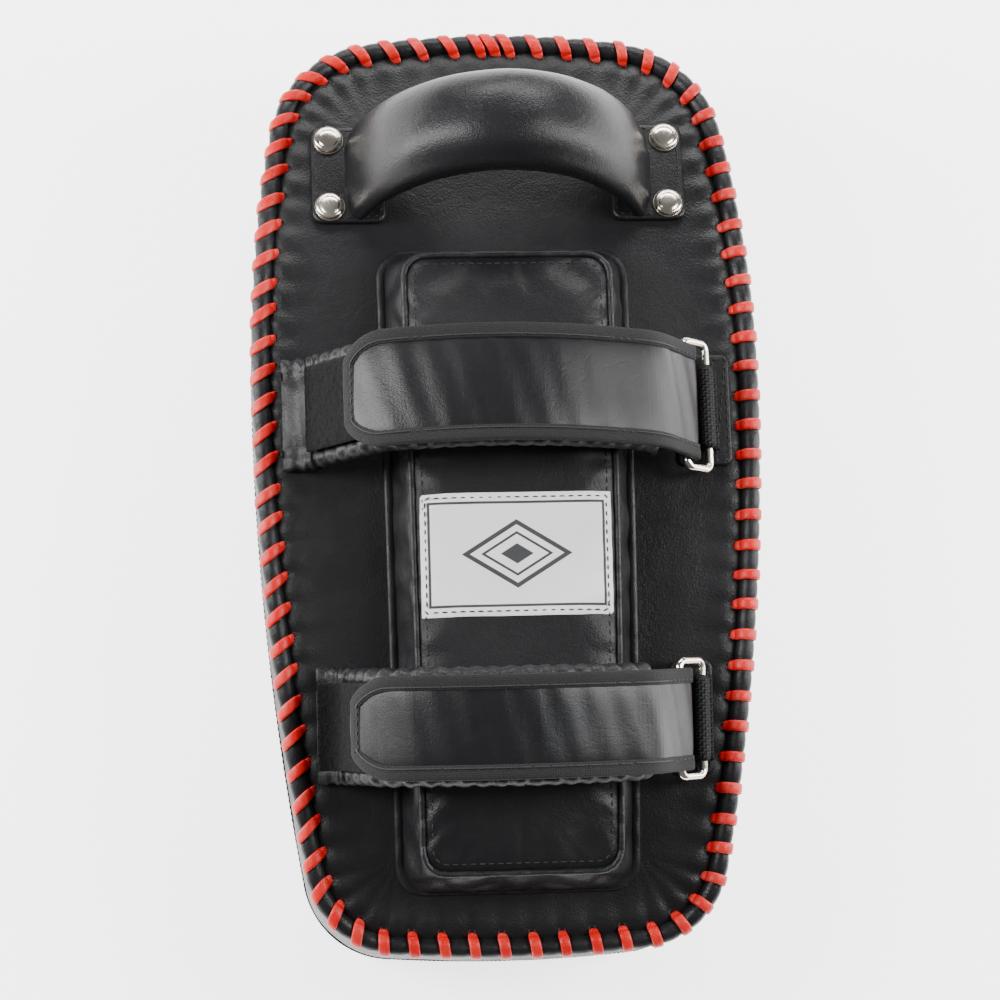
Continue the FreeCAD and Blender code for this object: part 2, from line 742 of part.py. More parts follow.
def ring_anchor(s):
    left = s.bar[0] - WIRE_RADIUS
    plate = box(left, s.right, -BAND_WIDTH / 2, BAND_WIDTH / 2, SEAT_GAP, SEAT_GAP + ANCHOR_THICKNESS)
    return s.put(plate)


def ring_keeper(s):
    """Webbing folded round the ring's fixed bar and sewn to the patch below it."""
    inner, seat = WIRE_RADIUS + WIRE_GAP, SEAT_GAP + ANCHOR_THICKNESS
    outer = inner + KEEPER_THICKNESS
    loop = Part.makeCylinder(outer, KEEPER_WIDTH, V(s.keeper[0], -KEEPER_WIDTH / 2, s.keeper[1]), Y_AXIS)
    tongue = box(s.keeper[0], s.keeper[0] + outer + KEEPER_TONGUE, -KEEPER_WIDTH / 2, KEEPER_WIDTH / 2,
                 seat, seat + KEEPER_THICKNESS)
    neck = box(s.keeper[0] - inner, s.keeper[0] + inner, -KEEPER_WIDTH / 2, KEEPER_WIDTH / 2,
               seat, s.keeper[1])
    hole = Part.makeCylinder(inner, KEEPER_WIDTH, V(s.keeper[0], -KEEPER_WIDTH / 2, s.keeper[1]), Y_AXIS)
    return s.put(loop.fuse([tongue, neck]).cut(hole).removeSplitter())


# ---- write every sub-part

def all_parts():
    back, core, face = foam_layers()
    parts = {
        "striking_face": striking_face(),
        "side_wall": side_wall(),
        "face_welt": face_welt(),
        "back_panel": back_panel(),
        "edge_binding": edge_binding(),
        "edge_lace": edge_lace(),
        "lace_lock_stitch": lace_lock_stitch(),
        "back_foam": back,
        "core_foam": core,
        "face_foam": face,
        "handle_cover": handle_cover(),
        "handle_core": handle_core(),
        "handle_tab_left": handle_tab(-1),
        "handle_tab_right": handle_tab(1),
        "handle_backing_board": handle_backing_board(),
        "rivet_caps": rivet_caps(),
        "rivet_posts": rivet_posts(),
        "rim_washers": rim_washers(),
        "rivet_burrs": rivet_burrs(),
        "cushion_foam": cushion_foam(),
        "cushion_gusset": cushion_gusset(),
        "cushion_panel": cushion_panel(),
        "cushion_welt": cushion_welt(),
        "cushion_flange": cushion_flange(),
        "label_patch": label_patch(),
    }
    makers = [strap_anchor, strap_foam, strap_cover, strap_edge_rolls, loop_tape, closing_strap_tail,
              closing_strap_turn, closing_flap, flap_binding, hook_tape, ring, ring_anchor, ring_keeper]
    for values in STRAPS:
        strap = Strap(*values)
        for make in makers:
            parts[strap.name + "_" + make.__name__] = make(strap)
    return parts


def print_joints():
    for values in STRAPS:
        strap = Strap(*values)
        axis = V(0, math.cos(math.radians(tilt(strap.y))), -math.sin(math.radians(tilt(strap.y))))
        for label, (x, w) in (("ring", strap.keeper), ("flap", strap.bar)):
            centre = strap.put(Part.Vertex(x, 0, w)).Point
            print(strap.name, label, [round(c, 3) for c in centre], [round(c, 5) for c in axis])


def main():
    os.makedirs("parts", exist_ok=True)
    for name, shape in all_parts().items():
        shape.exportStep(os.path.join("parts", name + ".step"))
        print(name, len(shape.Solids), round(shape.Volume), shape.isValid())
    print_joints()


main()
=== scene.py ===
import json
import math

import bmesh
import bpy
import numpy as np
from mathutils import Matrix, Vector
from mathutils.bvhtree import BVHTree


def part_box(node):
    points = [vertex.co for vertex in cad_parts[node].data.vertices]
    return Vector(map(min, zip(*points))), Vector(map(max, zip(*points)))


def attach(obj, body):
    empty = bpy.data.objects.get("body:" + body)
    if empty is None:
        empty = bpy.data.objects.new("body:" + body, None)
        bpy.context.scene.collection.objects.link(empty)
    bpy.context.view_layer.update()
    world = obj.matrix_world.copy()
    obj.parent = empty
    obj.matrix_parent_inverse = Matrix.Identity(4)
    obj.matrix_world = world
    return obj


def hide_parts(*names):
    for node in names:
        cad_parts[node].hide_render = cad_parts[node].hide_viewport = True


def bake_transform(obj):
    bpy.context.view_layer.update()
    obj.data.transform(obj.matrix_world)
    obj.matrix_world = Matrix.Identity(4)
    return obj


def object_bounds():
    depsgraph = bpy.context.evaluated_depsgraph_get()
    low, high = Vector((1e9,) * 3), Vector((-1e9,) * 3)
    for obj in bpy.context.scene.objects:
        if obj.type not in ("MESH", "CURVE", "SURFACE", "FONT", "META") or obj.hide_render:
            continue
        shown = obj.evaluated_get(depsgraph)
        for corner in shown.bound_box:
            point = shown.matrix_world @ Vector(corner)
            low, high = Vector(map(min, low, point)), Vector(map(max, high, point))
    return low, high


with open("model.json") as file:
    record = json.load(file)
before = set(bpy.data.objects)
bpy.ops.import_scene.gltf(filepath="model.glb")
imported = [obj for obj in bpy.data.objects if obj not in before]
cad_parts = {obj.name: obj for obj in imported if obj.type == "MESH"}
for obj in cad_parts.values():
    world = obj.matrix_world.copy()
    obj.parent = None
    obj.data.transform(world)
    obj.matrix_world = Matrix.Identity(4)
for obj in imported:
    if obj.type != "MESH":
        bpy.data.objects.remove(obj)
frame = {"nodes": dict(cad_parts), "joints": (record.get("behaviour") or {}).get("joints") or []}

bl_info = {
    "name": "Curved kick pad",
    "version": (1, 0, 0),
    "blender": (4, 5, 0),
    "location": "View3D > Sidebar > Kick Pad",
    "description": "Builds a laced kick pad with a grip handle, a forearm cushion and two arm straps",
    "category": "Add Mesh",
}

CAD_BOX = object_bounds()
MM = 0.001
SEED = 7


# ---------------------------------------------------------------- sizes and colours

class KickPadSizes(bpy.types.PropertyGroup):
    """Sizes that a maker of the pad would choose"""
    lace_width: bpy.props.FloatProperty(
        name="Lace width", description="Width of the flat edge lace",
        default=4.5 * MM, min=2 * MM, max=8 * MM, unit="LENGTH")
    lace_thickness: bpy.props.FloatProperty(
        name="Lace thickness", description="Thickness of the flat edge lace",
        default=1.3 * MM, min=0.5 * MM, max=3 * MM, unit="LENGTH")
    lace_pitch: bpy.props.FloatProperty(
        name="Lace pitch", description="Distance between whip stitches along the edge",
        default=12.7 * MM, min=8 * MM, max=25 * MM, unit="LENGTH")
    stitch_length: bpy.props.FloatProperty(
        name="Stitch length", description="Length of one machine stitch",
        default=2.6 * MM, min=1 * MM, max=6 * MM, unit="LENGTH")
    stitch_gap: bpy.props.FloatProperty(
        name="Stitch gap", description="Gap between two machine stitches",
        default=1.1 * MM, min=0.3 * MM, max=4 * MM, unit="LENGTH")
    thread_radius: bpy.props.FloatProperty(
        name="Thread radius", description="Radius of the sewing thread",
        default=0.32 * MM, min=0.1 * MM, max=1 * MM, unit="LENGTH")
    grain_cell: bpy.props.FloatProperty(
        name="Grain size", description="Size of one cell of the leather grain",
        default=0.9 * MM, min=0.3 * MM, max=4 * MM, unit="LENGTH")
    weave_thread: bpy.props.FloatProperty(
        name="Weave thread", description="Width of one thread of the woven tapes",
        default=0.7 * MM, min=0.2 * MM, max=3 * MM, unit="LENGTH")


class KickPadColours(bpy.types.PropertyGroup):
    """Colours that a maker of the pad would choose"""
    leather: bpy.props.FloatVectorProperty(
        name="Leather", description="Colour of the pad's leather",
        default=(0.0085, 0.0085, 0.0095), min=0, max=1, subtype="COLOR")
    lace: bpy.props.FloatVectorProperty(
        name="Lace", description="Colour of the edge lace",
        default=(0.62, 0.002, 0.002), min=0, max=1, subtype="COLOR")
    binding: bpy.props.FloatVectorProperty(
        name="Binding", description="Colour of the straps' binding tape",
        default=(0.010, 0.010, 0.010), min=0, max=1, subtype="COLOR")
    thread: bpy.props.FloatVectorProperty(
        name="Thread", description="Colour of the sewing thread",
        default=(0.035, 0.035, 0.037), min=0, max=1, subtype="COLOR")
    metal: bpy.props.FloatVectorProperty(
        name="Metal", description="Colour of the rivets and rings",
        default=(0.74, 0.69, 0.60), min=0, max=1, subtype="COLOR")
    patch: bpy.props.FloatVectorProperty(
        name="Patch", description="Colour of the woven patch",
        default=(0.97, 0.97, 0.95), min=0, max=1, subtype="COLOR")


def sizes():
    return bpy.context.scene.kick_pad_sizes


def colours():
    return bpy.context.scene.kick_pad_colours


# ---------------------------------------------------------------- the frame's own places

def get_points(mesh):
    points = np.empty(len(mesh.vertices) * 3)
    mesh.vertices.foreach_get("co", points)
    return points.reshape(-1, 3)


def set_points(mesh, points):
    mesh.vertices.foreach_set("co", np.asarray(points, float).ravel())
    mesh.update()


def corners_of(node):
    """Lowest and highest corner of a CAD node's box, as arrays."""
    return [np.array(corner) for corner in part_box(node)]


def node_points(name):
    return get_points(frame["nodes"][name].data)


def measure_back():
    """Radius of the back's arc and height of its axis, from the back panel's upper face."""
    points = node_points("back_panel")
    crown = points[:, 2].max()
    end = points[np.argmax(points[:, 1])]
    rise = crown - points[np.abs(points[:, 1] - end[1]) < 1e-4][:, 2].max()
    radius = (end[1] ** 2 + rise ** 2) / (2 * rise)
    return radius, crown - radius


BACK_RADIUS, AXIS_Z = measure_back()
HALF_WIDTH, HALF_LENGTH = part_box("side_wall")[1][:2]
FACE_LOW_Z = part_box("striking_face")[0][2]
CROWN_Z = AXIS_Z + BACK_RADIUS
FACE_RADIUS = math.hypot(AXIS_Z - FACE_LOW_Z, HALF_LENGTH)


def back_z(y, w=0.0):
    return AXIS_Z + np.sqrt((BACK_RADIUS + w) ** 2 - y ** 2)


def face_z(y, w=0.0):
    return AXIS_Z + np.sqrt((FACE_RADIUS + w) ** 2 - y ** 2)


# Plan outline: crowned ends, long side arcs that are widest above the middle, round corners.
WIDEST_Y = 46 * MM
TOP_CROWN, TOP_CORNER = 384 * MM, 48 * MM
UPPER_SIDE, LOWER_SIDE = 573 * MM, 1174 * MM
BOTTOM_CORNER, BOTTOM_CROWN = 37 * MM, 600 * MM


def circles_crossing(c1, r1, c2, r2):
    delta = c2 - c1
    gap = np.linalg.norm(delta)
    along = (r1 ** 2 - r2 ** 2 + gap ** 2) / (2 * gap)
    across = math.sqrt(r1 ** 2 - along ** 2)
    mid = c1 + delta * along / gap
    side = np.array([delta[1], -delta[0]]) * across / gap
    return max((mid + side, mid - side), key=lambda p: p[0])


def outline_arcs():
    """The right half of the outline, from the handle end down: (centre, radius, from, to)."""
    top = np.array([0, HALF_LENGTH - TOP_CROWN])
    upper = np.array([HALF_WIDTH - UPPER_SIDE, WIDEST_Y])
    lower = np.array([HALF_WIDTH - LOWER_SIDE, WIDEST_Y])
    bottom = np.array([0, BOTTOM_CROWN - HALF_LENGTH])
    c1 = circles_crossing(top, TOP_CROWN - TOP_CORNER, upper, UPPER_SIDE - TOP_CORNER)
    c2 = circles_crossing(bottom, BOTTOM_CROWN - BOTTOM_CORNER, lower, LOWER_SIDE - BOTTOM_CORNER)

    def angle(a, b):
        return math.atan2(b[1] - a[1], b[0] - a[0])

    a1, a2, a3, a4 = angle(top, c1), angle(upper, c1), angle(lower, c2), angle(bottom, c2)
    return [
        (top, TOP_CROWN, math.pi / 2, a1), (c1, TOP_CORNER, a1, a2), (upper, UPPER_SIDE, a2, 0.0),
        (lower, LOWER_SIDE, 0.0, a3), (c2, BOTTOM_CORNER, a3, a4), (bottom, BOTTOM_CROWN, a4, -math.pi / 2),
    ]


ARCS = outline_arcs()
ARC_LENGTHS = [r * (a - b) for c, r, a, b in ARCS]
HALF_RUN = sum(ARC_LENGTHS)
FULL_RUN = 2 * HALF_RUN


def outline(run, out=0.0):
    """Points, clockwise from the middle of the handle end, moved outwards: (xy, outward normal)."""
    run = np.atleast_1d(np.asarray(run, float)) % FULL_RUN
    out = np.broadcast_to(out, run.shape)
    left_half = run > HALF_RUN
    along = np.where(left_half, FULL_RUN - run, run)
    xy = np.zeros(run.shape + (2,))
    normal = np.zeros(run.shape + (2,))
    start = 0.0
    for (centre, radius, a, b), length in zip(ARCS, ARC_LENGTHS):
        inside = (along >= start - 1e-9) & (along <= start + length + 1e-9)
        angle = a + (b - a) * (along[inside] - start) / length
        n = np.stack([np.cos(angle), np.sin(angle)], -1)
        normal[inside] = n
        xy[inside] = centre + n * (radius + out[inside])[:, None]
        start += length
    mirror = np.where(left_half, -1.0, 1.0)
    xy[:, 0] *= mirror
    normal[:, 0] *= mirror
    return xy, normal


# ---------------------------------------------------------------- mesh helpers

def smooth_noise(points, scale, seed=0):
    """A cheap smooth random field in -1..1 over an array of points, the same on every run."""
    rng = np.random.default_rng(SEED + seed)
    total = np.zeros(points.shape[:-1])
    for _ in range(5):
        wave = rng.normal(size=3)
        wave *= rng.uniform(0.6, 1.5) * 2 * math.pi / (scale * np.linalg.norm(wave))
        total += np.sin(points @ wave + rng.uniform(0, 2 * math.pi))
    return total / 2.6


def bell(x, centre, width):
    return np.exp(-((x - centre) / width) ** 2)


def finish_mesh(obj, material, smooth=True):
    mesh = obj.data
    bm = bmesh.new()
    bm.from_mesh(mesh)
    bmesh.ops.recalc_face_normals(bm, faces=bm.faces)
    bm.to_mesh(mesh)
    bm.free()
    mesh.polygons.foreach_set("use_smooth", [smooth] * len(mesh.polygons))
    mesh.materials.clear()
    mesh.materials.append(material)
    mesh.update()
    return obj


def mesh_object(name, verts, faces, material, uvs=None):
    """A new object; uvs is one (u, v) in metres for each vertex."""
    mesh = bpy.data.meshes.new(name)
    mesh.from_pydata([tuple(v) for v in verts], [], [tuple(f) for f in faces])
    obj = bpy.data.objects.new(name, mesh)
    bpy.context.scene.collection.objects.link(obj)
    finish_mesh(obj, material)
    if uvs is not None:
        layer = mesh.uv_layers.new(name="UVMap")
        index = np.empty(len(mesh.loops), dtype=int)
        mesh.loops.foreach_get("vertex_index", index)
        layer.data.foreach_set("uv", np.asarray(uvs, float)[index].ravel())
    return obj


def grid_object(name, points, material, close_rows=False, close_columns=False, caps=(), uvs=None):
    """Quads over points[row, column]; caps is any of "first" and "last", for closed columns."""
    rows, columns = points.shape[:2]
    verts = points.reshape(-1, 3)
    faces = []
    for i in range(rows if close_rows else rows - 1):
        j = (i + 1) % rows
        for k in range(columns if close_columns else columns - 1):
            m = (k + 1) % columns
            faces.append((i * columns + k, i * columns + m, j * columns + m, j * columns + k))
    if uvs is not None:
        uvs = uvs.reshape(-1, 2)
    for cap in caps:
        row = 0 if cap == "first" else rows - 1
        centre = len(verts)
        verts = np.vstack([verts, points[row].mean(axis=0)])
        if uvs is not None:
            uvs = np.vstack([uvs, uvs[row * columns:(row + 1) * columns].mean(axis=0)])
        faces += [(row * columns + k, row * columns + (k + 1) % columns, centre) for k in range(columns)]
    return mesh_object(name, verts, faces, material, uvs)


def filled_loop(name, rings, material, uvs=None):
    """Quads over closed rings that shrink to a middle point, the mean of the last ring."""
    return grid_object(name, rings, material, close_columns=True, caps=("last",), uvs=uvs)


def run_of(line):
    """Distance along a line, at each of its points."""
    return np.concatenate([[0], np.cumsum(np.linalg.norm(np.diff(line, axis=0), axis=1))])


def frames_along(points, up, closed=False):
    """Tangent, side and normal at each point of a line; up is the wanted normal at each point."""
    if closed:
        tangent = np.roll(points, -1, axis=0) - np.roll(points, 1, axis=0)
    else:
        tangent = np.gradient(points, axis=0)
    tangent /= np.linalg.norm(tangent, axis=1, keepdims=True)
    side = np.cross(tangent, up)
    side /= np.linalg.norm(side, axis=1, keepdims=True)
    normal = np.cross(side, tangent)
    return tangent, side, normal


def tube(name, points, up, radius, material, closed=False, sides=12, flat=1.0, swell=None):
    """A round cord along a line. flat squeezes it along its normal; swell scales each section."""
    _, side, normal = frames_along(points, up, closed)
    swell = np.ones(len(points)) if swell is None else swell
    angle = np.arange(sides) * 2 * math.pi / sides
    ring = (side[:, None] * np.cos(angle)[None, :, None]
            + normal[:, None] * (flat * np.sin(angle))[None, :, None])
    rings = points[:, None] + ring * (radius * swell)[:, None, None]
    run = run_of(points)
    uvs = np.stack(np.broadcast_arrays(run[:, None], (angle * radius)[None, :]), -1)
    caps = () if closed else ("first", "last")
    return grid_object(name, rings, material, close_rows=closed, close_columns=True, caps=caps, uvs=uvs)


def resample(points, spacing, closed=False, count=None):
    """Evenly spaced points along a line, by spacing or by count."""
    if closed:
        points = np.vstack([points, points[:1]])
    run = run_of(points)
    count = count or max(2, int(round(run[-1] / spacing)))
    wanted = np.linspace(0, run[-1], count, endpoint=False) if closed else np.linspace(0, run[-1], count + 1)
    return np.stack([np.interp(wanted, run, points[:, i]) for i in range(points.shape[1])], -1)


def thread_row(name, lines, closed=False):
    """Machine stitches along lines of (points, normals): one small arched bead for each stitch."""
    s = sizes()
    sides, stations = 6, 5
    verts, faces = [], []
    along = np.linspace(-1, 1, stations)
    thick = np.array([0.25, 0.85, 1.0, 0.85, 0.25]) * s.thread_radius
    arch = np.array([-0.9, 0.1, 0.35, 0.1, -0.9]) * s.thread_radius
    angle = np.arange(sides) * 2 * math.pi / sides
    for points, normals in lines:
        both = resample(np.hstack([points, normals]), s.stitch_length + s.stitch_gap, closed)
        spots, up = both[:, :3], both[:, 3:]
        tangent, side, normal = frames_along(spots, up, closed)
        for p, t, b, n in zip(spots, tangent, side, normal):
            base = len(verts)
            for a, r, h in zip(along, thick, arch):
                centre = p + t * a * s.stitch_length / 2 + n * h
                for q in angle:
                    verts.append(centre + b * r * math.cos(q) + n * r * math.sin(q))
            for i in range(stations - 1):
                for k in range(sides):
                    m = (k + 1) % sides
                    a, b2 = base + i * sides, base + (i + 1) * sides
                    faces.append((a + k, a + m, b2 + m, b2 + k))
            faces.append(tuple(base + k for k in range(sides)))
            faces.append(tuple(base + (stations - 1) * sides + k for k in range(sides)))
    return mesh_object(name, verts, faces, material("thread"))


def on_body(obj, body, slot, *nodes):
    """Ride on a body and stand for CAD nodes. The slot argument is not used."""
    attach(obj, body)
    if nodes:
        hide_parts(*nodes)
    return obj


# ---------------------------------------------------------------- shader node groups

GROUPS = {}


class Tree:
    """Short names for adding and joining shader nodes in a node tree."""

    def __init__(self, tree):
        self.tree = tree

    def add(self, kind, inputs=(), **settings):
        node = self.tree.nodes.new(kind)
        for key, value in settings.items():
            setattr(node, key, value)
        for key, value in dict(inputs).items():
            self.put(node.inputs[key], value)
        return node

    def put(self, socket, value):
        if isinstance(value, bpy.types.NodeSocket):
            self.tree.links.new(value, socket)
        else:
            socket.default_value = value

    def math(self, operation, a, b=0.0, c=0.0, clamp=False):
        node = self.add("ShaderNodeMath", operation=operation, use_clamp=clamp)
        for socket, value in zip(node.inputs, (a, b, c)):
            self.put(socket, value)
        return node.outputs[0]

    def band(self, value, low, high, to_low=0.0, to_high=1.0):
        node = self.add("ShaderNodeMapRange", {"Value": value, "From Min": low, "From Max": high,
                                               "To Min": to_low, "To Max": to_high},
                        interpolation_type="SMOOTHSTEP")
        return node.outputs["Result"]

    def blend(self, factor, a, b, mode="MIX"):
        node = self.add("ShaderNodeMix", data_type="RGBA", blend_type=mode)
        for key, value in ((0, factor), (6, a), (7, b)):
            self.put(node.inputs[key], value)
        return node.outputs[2]

    def noise(self, vector, scale, detail=3.0, roughness=0.55):
        node = self.add("ShaderNodeTexNoise", {"Vector": vector, "Scale": scale, "Detail": detail,
                                               "Roughness": roughness})
        return node.outputs["Fac"]


def new_group(name, inputs, outputs):
    """An empty shader node group; inputs are (name, kind, default) and outputs (name, kind)."""
    group = bpy.data.node_groups.new(name, "ShaderNodeTree")
    for label, kind, default in inputs:
        socket = group.interface.new_socket(label, in_out="INPUT", socket_type="NodeSocket" + kind)
        if default is not None:
            socket.default_value = default
    for label, kind in outputs:
        group.interface.new_socket(label, in_out="OUTPUT", socket_type="NodeSocket" + kind)
    tree = Tree(group)
    return group, tree, tree.add("NodeGroupInput").outputs, tree.add("NodeGroupOutput").inputs


def make_grain_group():
    group, t, given, out = new_group(
        "Leather grain", [("Vector", "Vector", None), ("Cell", "Float", 0.001), ("Crease", "Float", 0.02)],
        [("Height", "Float"), ("Tone", "Float")])
    scale = t.math("DIVIDE", 1.0, given["Cell"])
    warp = t.add("ShaderNodeTexNoise", {"Vector": given["Vector"], "Detail": 2.0,
                                        "Scale": t.math("MULTIPLY", scale, 0.35)})
    bent = t.add("ShaderNodeVectorMath", operation="MULTIPLY_ADD")
    t.put(bent.inputs[0], warp.outputs["Color"])
    t.put(bent.inputs[1], (0.0006, 0.0006, 0.0006))
    t.put(bent.inputs[2], given["Vector"])
    cells = t.add("ShaderNodeTexVoronoi", {"Vector": bent.outputs[0], "Scale": scale}, feature="F1")
    pebble = t.band(cells.outputs["Distance"], 0.1, 0.75, 1.0, 0.0)
    creases = t.noise(given["Vector"], t.math("DIVIDE", 1.0, given["Crease"]), 4.0, 0.6)
    fold = t.math("ABSOLUTE", t.math("SUBTRACT", creases, 0.5))
    fold = t.band(fold, 0.0, 0.05)
    height = t.math("ADD", t.math("MULTIPLY", pebble, 0.55), t.math("MULTIPLY", fold, 0.45))
    t.put(out["Height"], height)
    t.put(out["Tone"], t.math("MULTIPLY_ADD", creases, 0.7, t.math("MULTIPLY", pebble, 0.3)))
    return group


def make_weave_group():
    group, t, given, out = new_group(
        "Plain weave", [("Vector", "Vector", None), ("Thread", "Float", 0.0007)],
        [("Height", "Float"), ("Tone", "Float")])
    parts = t.add("ShaderNodeSeparateXYZ", {"Vector": given["Vector"]}).outputs
    u = t.math("DIVIDE", parts["X"], given["Thread"])
    v = t.math("DIVIDE", parts["Y"], given["Thread"])
    over = t.math("FLOORED_MODULO", t.math("ADD", t.math("FLOOR", u), t.math("FLOOR", v)), 2.0)
    warp = t.math("ABSOLUTE", t.math("SINE", t.math("MULTIPLY", u, math.pi)))
    weft = t.math("ABSOLUTE", t.math("SINE", t.math("MULTIPLY", v, math.pi)))
    one = t.math("MULTIPLY", warp, t.math("MULTIPLY_ADD", over, 0.7, 0.3))
    two = t.math("MULTIPLY", weft, t.math("MULTIPLY_ADD", over, -0.7, 1.0))
    height = t.math("MAXIMUM", one, two)
    fuzz = t.noise(given["Vector"], 1800.0, 2.0)
    t.put(out["Height"], t.math("MULTIPLY_ADD", fuzz, 0.25, height))
    t.put(out["Tone"], t.math("MULTIPLY_ADD", height, 0.8, t.math("MULTIPLY", fuzz, 0.2)))
    return group


def make_wear_group():
    group, t, given, out = new_group(
        "Edge wear", [("Vector", "Vector", None), ("Amount", "Float", 0.5)], [("Mask", "Float")])
    pointy = t.add("ShaderNodeNewGeometry").outputs["Pointiness"]
    edge = t.band(pointy, 0.51, 0.57)
    patchy = t.band(t.noise(given["Vector"], 90.0, 5.0, 0.65), 0.38, 0.68)
    t.put(out["Mask"], t.math("MULTIPLY", t.math("MULTIPLY", edge, patchy), given["Amount"]))
    return group


def make_handling_group():
    group, t, given, out = new_group(
        "Handling marks", [("Vector", "Vector", None), ("Size", "Float", 0.06)],
        [("Smudge", "Float"), ("Dust", "Float")])
    scale = t.math("DIVIDE", 1.0, given["Size"])
    broad = t.noise(given["Vector"], scale, 3.0, 0.5)
    fine = t.noise(given["Vector"], t.math("MULTIPLY", scale, 45.0), 2.0, 0.6)
    t.put(out["Smudge"], t.band(broad, 0.3, 0.7))
    t.put(out["Dust"], t.math("MULTIPLY", t.band(fine, 0.62, 0.78), t.band(broad, 0.4, 0.75)))
    return group


def group_node(t, name, **inputs):
    makers = {"Leather grain": make_grain_group, "Plain weave": make_weave_group,
              "Edge wear": make_wear_group, "Handling marks": make_handling_group}
    if name not in GROUPS:
        GROUPS[name] = makers[name]()
    node = t.add("ShaderNodeGroup")
    node.node_tree = GROUPS[name]
    for key, value in inputs.items():
        t.put(node.inputs[key], value)
    return node.outputs


# ---------------------------------------------------------------- materials

MATERIALS = {}


def start_material(name, uniform):
    """A new material with its Principled BSDF; uniform values go on the shader's own sockets."""
    mat = bpy.data.materials.new(name)
    mat.use_nodes = True
    t = Tree(mat.node_tree)
    shader = mat.node_tree.nodes["Principled BSDF"]
    for key, value in uniform.items():
        shader.inputs[key].default_value = value
    coords = t.add("ShaderNodeTexCoord").outputs
    return mat, t, shader.inputs, coords


def add_bump(t, shader, height, distance, strength=1.0):
    bump = t.add("ShaderNodeBump", {"Height": height, "Distance": distance, "Strength": strength})
    t.put(shader["Normal"], bump.outputs["Normal"])


def rgba(colour, gain=1.0):
    return (min(1.0, colour[0] * gain), min(1.0, colour[1] * gain), min(1.0, colour[2] * gain), 1.0)


def leather_material(name, colour, cell, grain_depth, rough, crease=0.03, wear=0.4, **uniform):
    mat, t, shader, coords = start_material(name, {"IOR": 1.45, "Specular IOR Level": 0.3, **uniform})
    at = coords["Object"]
    grain = group_node(t, "Leather grain", Vector=at, Cell=cell, Crease=crease)
    marks = group_node(t, "Handling marks", Vector=at)
    edge = group_node(t, "Edge wear", Vector=at, Amount=wear)
    base = t.blend(grain["Tone"], rgba(colour, 0.72), rgba(colour, 1.35))
    base = t.blend(t.math("MULTIPLY", marks["Dust"], 0.35), base, rgba(colour, 4.0))
    base = t.blend(edge["Mask"], base, rgba(colour, 3.2))
    t.put(shader["Base Color"], base)
    low, high = rough
    t.put(shader["Roughness"], t.math("MULTIPLY_ADD", marks["Smudge"], high - low, t.math(
        "MULTIPLY_ADD", grain["Height"], -0.06, low + 0.03)))
    add_bump(t, shader, grain["Height"], grain_depth)
    return mat


def woven_material(name, colour, thread, depth, rough, **uniform):
    mat, t, shader, coords = start_material(name, {"Specular IOR Level": 0.25, **uniform})
    weave = group_node(t, "Plain weave", Vector=coords["UV"], Thread=thread)
    marks = group_node(t, "Handling marks", Vector=coords["Object"])
    base = t.blend(weave["Tone"], rgba(colour, 0.55), rgba(colour, 1.6))
    base = t.blend(t.math("MULTIPLY", marks["Dust"], 0.4), base, rgba(colour, 5.0))
    t.put(shader["Base Color"], base)
    t.put(shader["Roughness"], t.math("MULTIPLY_ADD", marks["Smudge"], 0.08, rough - 0.04))
    add_bump(t, shader, weave["Height"], depth)
    return mat


def metal_material(name, colour):
    mat, t, shader, coords = start_material(name, {"Metallic": 1.0, "IOR": 2.0})
    at = coords["Object"]
    marks = group_node(t, "Handling marks", Vector=at, Size=0.02)
    edge = group_node(t, "Edge wear", Vector=at, Amount=0.6)
    base = t.blend(marks["Smudge"], rgba(colour, 0.86), rgba(colour, 1.05))
    base = t.blend(edge["Mask"], base, rgba(colour, 1.25))
    t.put(shader["Base Color"], base)
    scratch = t.noise(t.add("ShaderNodeMapping", {"Vector": at, "Scale": (900, 120, 500)}).outputs[0], 4.0)
    t.put(shader["Roughness"], t.math("MULTIPLY_ADD", marks["Smudge"], 0.14, t.math(
        "MULTIPLY", scratch, 0.22)))
    add_bump(t, shader, scratch, 0.00002)
    return mat


